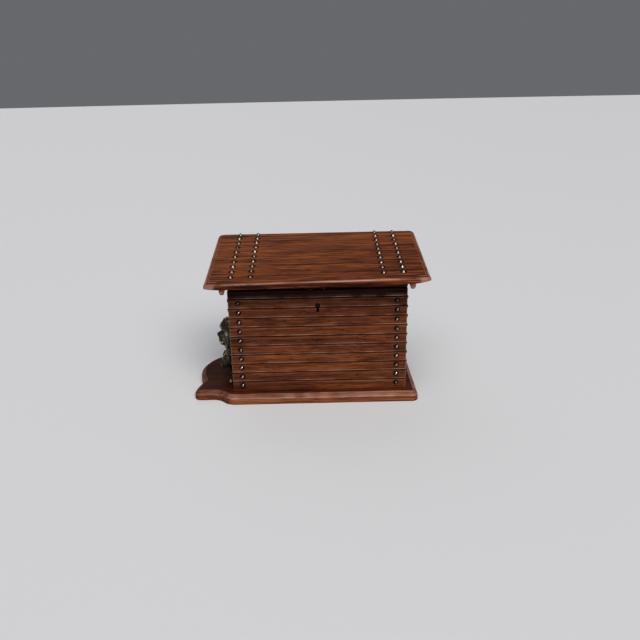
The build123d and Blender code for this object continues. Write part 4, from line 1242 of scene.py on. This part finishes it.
low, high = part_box("side_knob")
girths, outs = np.array([
    (0.75, -0.3), (1.0, -0.1), (1.02, 0.35), (0.9, 0.62), (0.66, 0.85), (0.62, 1.15), (0.84, 1.5),
    (0.98, 2.0), (0.99, 2.6), (0.88, 3.3), (0.66, 3.85), (0.38, 4.2), (0.12, 4.32),
]).T[..., None]
r, turn = girths * (high.y - low.y) / 2, circle(24)
knob = as_points(
    -HALF_WIDTH - outs * MM, (low.y + high.y) / 2 + r * np.cos(turn), (low.z + high.z) / 2 + r * np.sin(turn)
)
piece("side_knob", [closed_rings(knob)], "box", bronze, rub=np.repeat(clamp(outs / 4.0), len(turn)))

# %% [markdown]
# ## Finishes of the CAD nodes that stay
#
# The lining, the lock, the hinges, the screws and the humidifier have their right shapes in CAD,
# so they only need finishes: bare cedar, aged brass, drawn steel and a dense pad. The rail and the
# threshold are oak stained nearly black, as painted shade, since they sit in shade under the eave and
# in the doorway. The key pin and the lock's inside, seen through the keyhole, are painted black as shade.

# %% Cedar, brass, steel and pad
def cedar(name, grain):
    """Bare red cedar: soft pink-brown with straight darker growth lines and no polish."""
    finish = Finish(name)
    place = finish.place()
    ways = [2.0 if axis == grain else 60.0 for axis in "xyz"]
    growth = finish.fibres(place, ways, 3.0)
    fine = finish.fibres(place, [way * 9 for way in ways], 3.0)
    broad = finish.noise(place, 14.0, 2.0)
    tone = growth * 0.7 + fine * 0.3 + (broad - 0.5) * 0.4
    return finish.set(
        Base_Color=finish.ramp(
            tone, (0.25, (0.22, 0.085, 0.04)), (0.5, (0.40, 0.18, 0.085)), (0.75, (0.53, 0.28, 0.14))
        ),
        Roughness=0.62 + (fine - 0.5) * 0.3,
        Normal=finish.relief(fine + growth, 0.0002, 0.5),
    )


def aged_brass(name, keyhole_shade=False):
    """Brass that has gone brown, with brighter brushed streaks. With the flag set, the part seen through the
    keyhole is painted black as shade.
    """
    finish = Finish(name, Metallic=1.0)
    place = finish.place()
    cloud = finish.noise(place, 90.0, 4.0)
    brush = finish.fibres(place, (40.0, 900.0, 900.0), 2.0)
    patina = (cloud * 0.9 + brush * 0.3 + 0.2).between(0.55, 0.95)
    colour = finish.mix(patina, (0.20, 0.125, 0.05), (0.66, 0.46, 0.19))
    if keyhole_shade:
        # painted shade: the lock's inside, seen through the keyhole, is painted black
        _, y, z = finish.split(place)
        seen_through_keyhole = y.between(LOCK_BACK - 0.4 * MM, LOCK_BACK - 0.7 * MM)
        seen_through_keyhole = seen_through_keyhole * z.between(FRONT_TOP - 2 * MM, FRONT_TOP - 3 * MM)
        colour = finish.tint(seen_through_keyhole, colour, (0.02, 0.02, 0.02))
    rough = 0.50 - patina * 0.20 + (brush - 0.5) * 0.2
    return finish.set(Base_Color=colour, Roughness=rough, Normal=finish.relief(brush, 0.00005, 0.5))


def drawn_steel():
    """Grey steel, drawn lengthwise, with spots of rust."""
    finish = Finish("drawn_steel", Metallic=1.0)
    place = finish.place()
    rust = finish.noise(place, 240.0, 4.0).between(0.56, 0.72)
    lines = finish.fibres(place, (60.0, 1200.0, 1200.0), 2.0)
    colour = finish.mix(rust * 0.6, (0.44, 0.43, 0.41), (0.14, 0.075, 0.04))
    return finish.set(Base_Color=colour, Roughness=0.30 + lines * 0.2 + rust * 0.2)


def pad_felt():
    """Pale felt with old water stains."""
    finish = Finish("pad_felt")
    place = finish.place()
    nap = finish.noise(place, 1400.0, 3.0)
    stain = finish.noise(place, 40.0, 3.0)
    colour = finish.mix(stain.between(0.4, 0.7), (0.46, 0.42, 0.33), (0.33, 0.26, 0.17))
    return finish.set(Base_Color=colour, Roughness=0.9 + nap * 0.08, Normal=finish.relief(nap, 0.0003, 0.8))


def steel_painted_dark():
    """Steel painted nearly black as shade, for the pin deep in the keyhole."""
    finish = Finish("steel_painted_shade", Metallic=1.0, Roughness=0.5)
    soot = finish.noise(finish.place(), 600.0, 3.0)
    return finish.set(Base_Color=finish.mix(soot, (0.02, 0.018, 0.016), (0.07, 0.06, 0.05)))


brass, steel = aged_brass("aged_brass"), drawn_steel()
kept = {
    cedar("cedar_long", "x"): ("floor_lining", "front_lining", "back_lining"),
    cedar("cedar_short", "y"): ("left_lining", "right_lining"),
    # painted shade: oak stained nearly black for the rail under the eave and the threshold
    oak("oak_rail_painted_shade", "x", 0.18): ("door_sill", "lid_front_rail"),
    pad_felt(): ("humidifier_pad",),
    # painted shade on the pin in the keyhole
    steel_painted_dark(): ("lock_key_pin",),
    aged_brass("brass_keyhole_shade", keyhole_shade=True): ("lock_case", "lock_cover_plate", "lock_bolt"),
    steel: ("hinge_pin_left", "hinge_pin_right", "base_screws", "casting_screws"),
}
finish_of = {name: finish for finish, names in kept.items() for name in names}
shown = [name for name, obj in nodes.items() if not obj.hide_render]
for name in shown:
    dress(nodes[name], finish_of.get(name, brass))
print("finished CAD nodes:", len(shown))

# %% [markdown]
# ## Table and light
#
# The photograph was taken on a pale table in soft daylight that comes over the photographer's
# right shoulder. The lid's overhang throws a shadow a fingertip deep on the wall, which puts the
# light at about forty degrees. One distant lamp gives that shadow, a broad one above softens it,
# a faint one behind lifts the back, and the world fills in the rest.

# %% Floor, lamps and world
FLOOR_REACH = 40.0
rim = FLOOR_REACH * as_points(*parts_of(around(circle(64))), 0.0)
floor = linked("floor", mesh_of("floor", [(rim, [np.arange(len(rim))[None]])]))
dress(floor, Finish("pale_table", Base_Color=(0.60, 0.60, 0.61), Roughness=0.6, Specular_IOR_Level=0.2))


def lamp(name, azimuth, elevation, spread, power, colour=(1.0, 1.0, 1.0)):
    """A distant lamp, spread degrees wide. Azimuth 0 is the photographer's side, positive to the right."""
    obj = linked(name, bpy.data.lights.new(name, "SUN"))
    obj.data.angle = math.radians(spread)
    obj.data.energy = power
    obj.data.color = colour
    a, e = math.radians(azimuth), math.radians(elevation)
    way = Vector((math.sin(a) * math.cos(e), -math.cos(a) * math.cos(e), math.sin(e)))
    obj.rotation_mode = "QUATERNION"
    obj.rotation_quaternion = way.to_track_quat("Z", "Y")


lamp("key", 24, 38, 30, 1.45, (1.0, 0.98, 0.95))
lamp("overhead", 4, 56, 56, 2.2)
lamp("back", 200, 45, 50, 0.3, (0.95, 0.97, 1.0))
world = bpy.data.worlds.new("world")
bpy.context.scene.world = world
world.use_nodes = True
background = world.node_tree.nodes["Background"].inputs
background["Color"].default_value = (0.90, 0.93, 1.0, 1.0)
background["Strength"].default_value = 0.15
bpy.context.scene.view_settings.view_transform = "Standard"
print("lamps", len(bpy.data.lights))

# %% Size of the CAD model
print("CAD box", [round(v, 4) for c in cad_box for v in c])
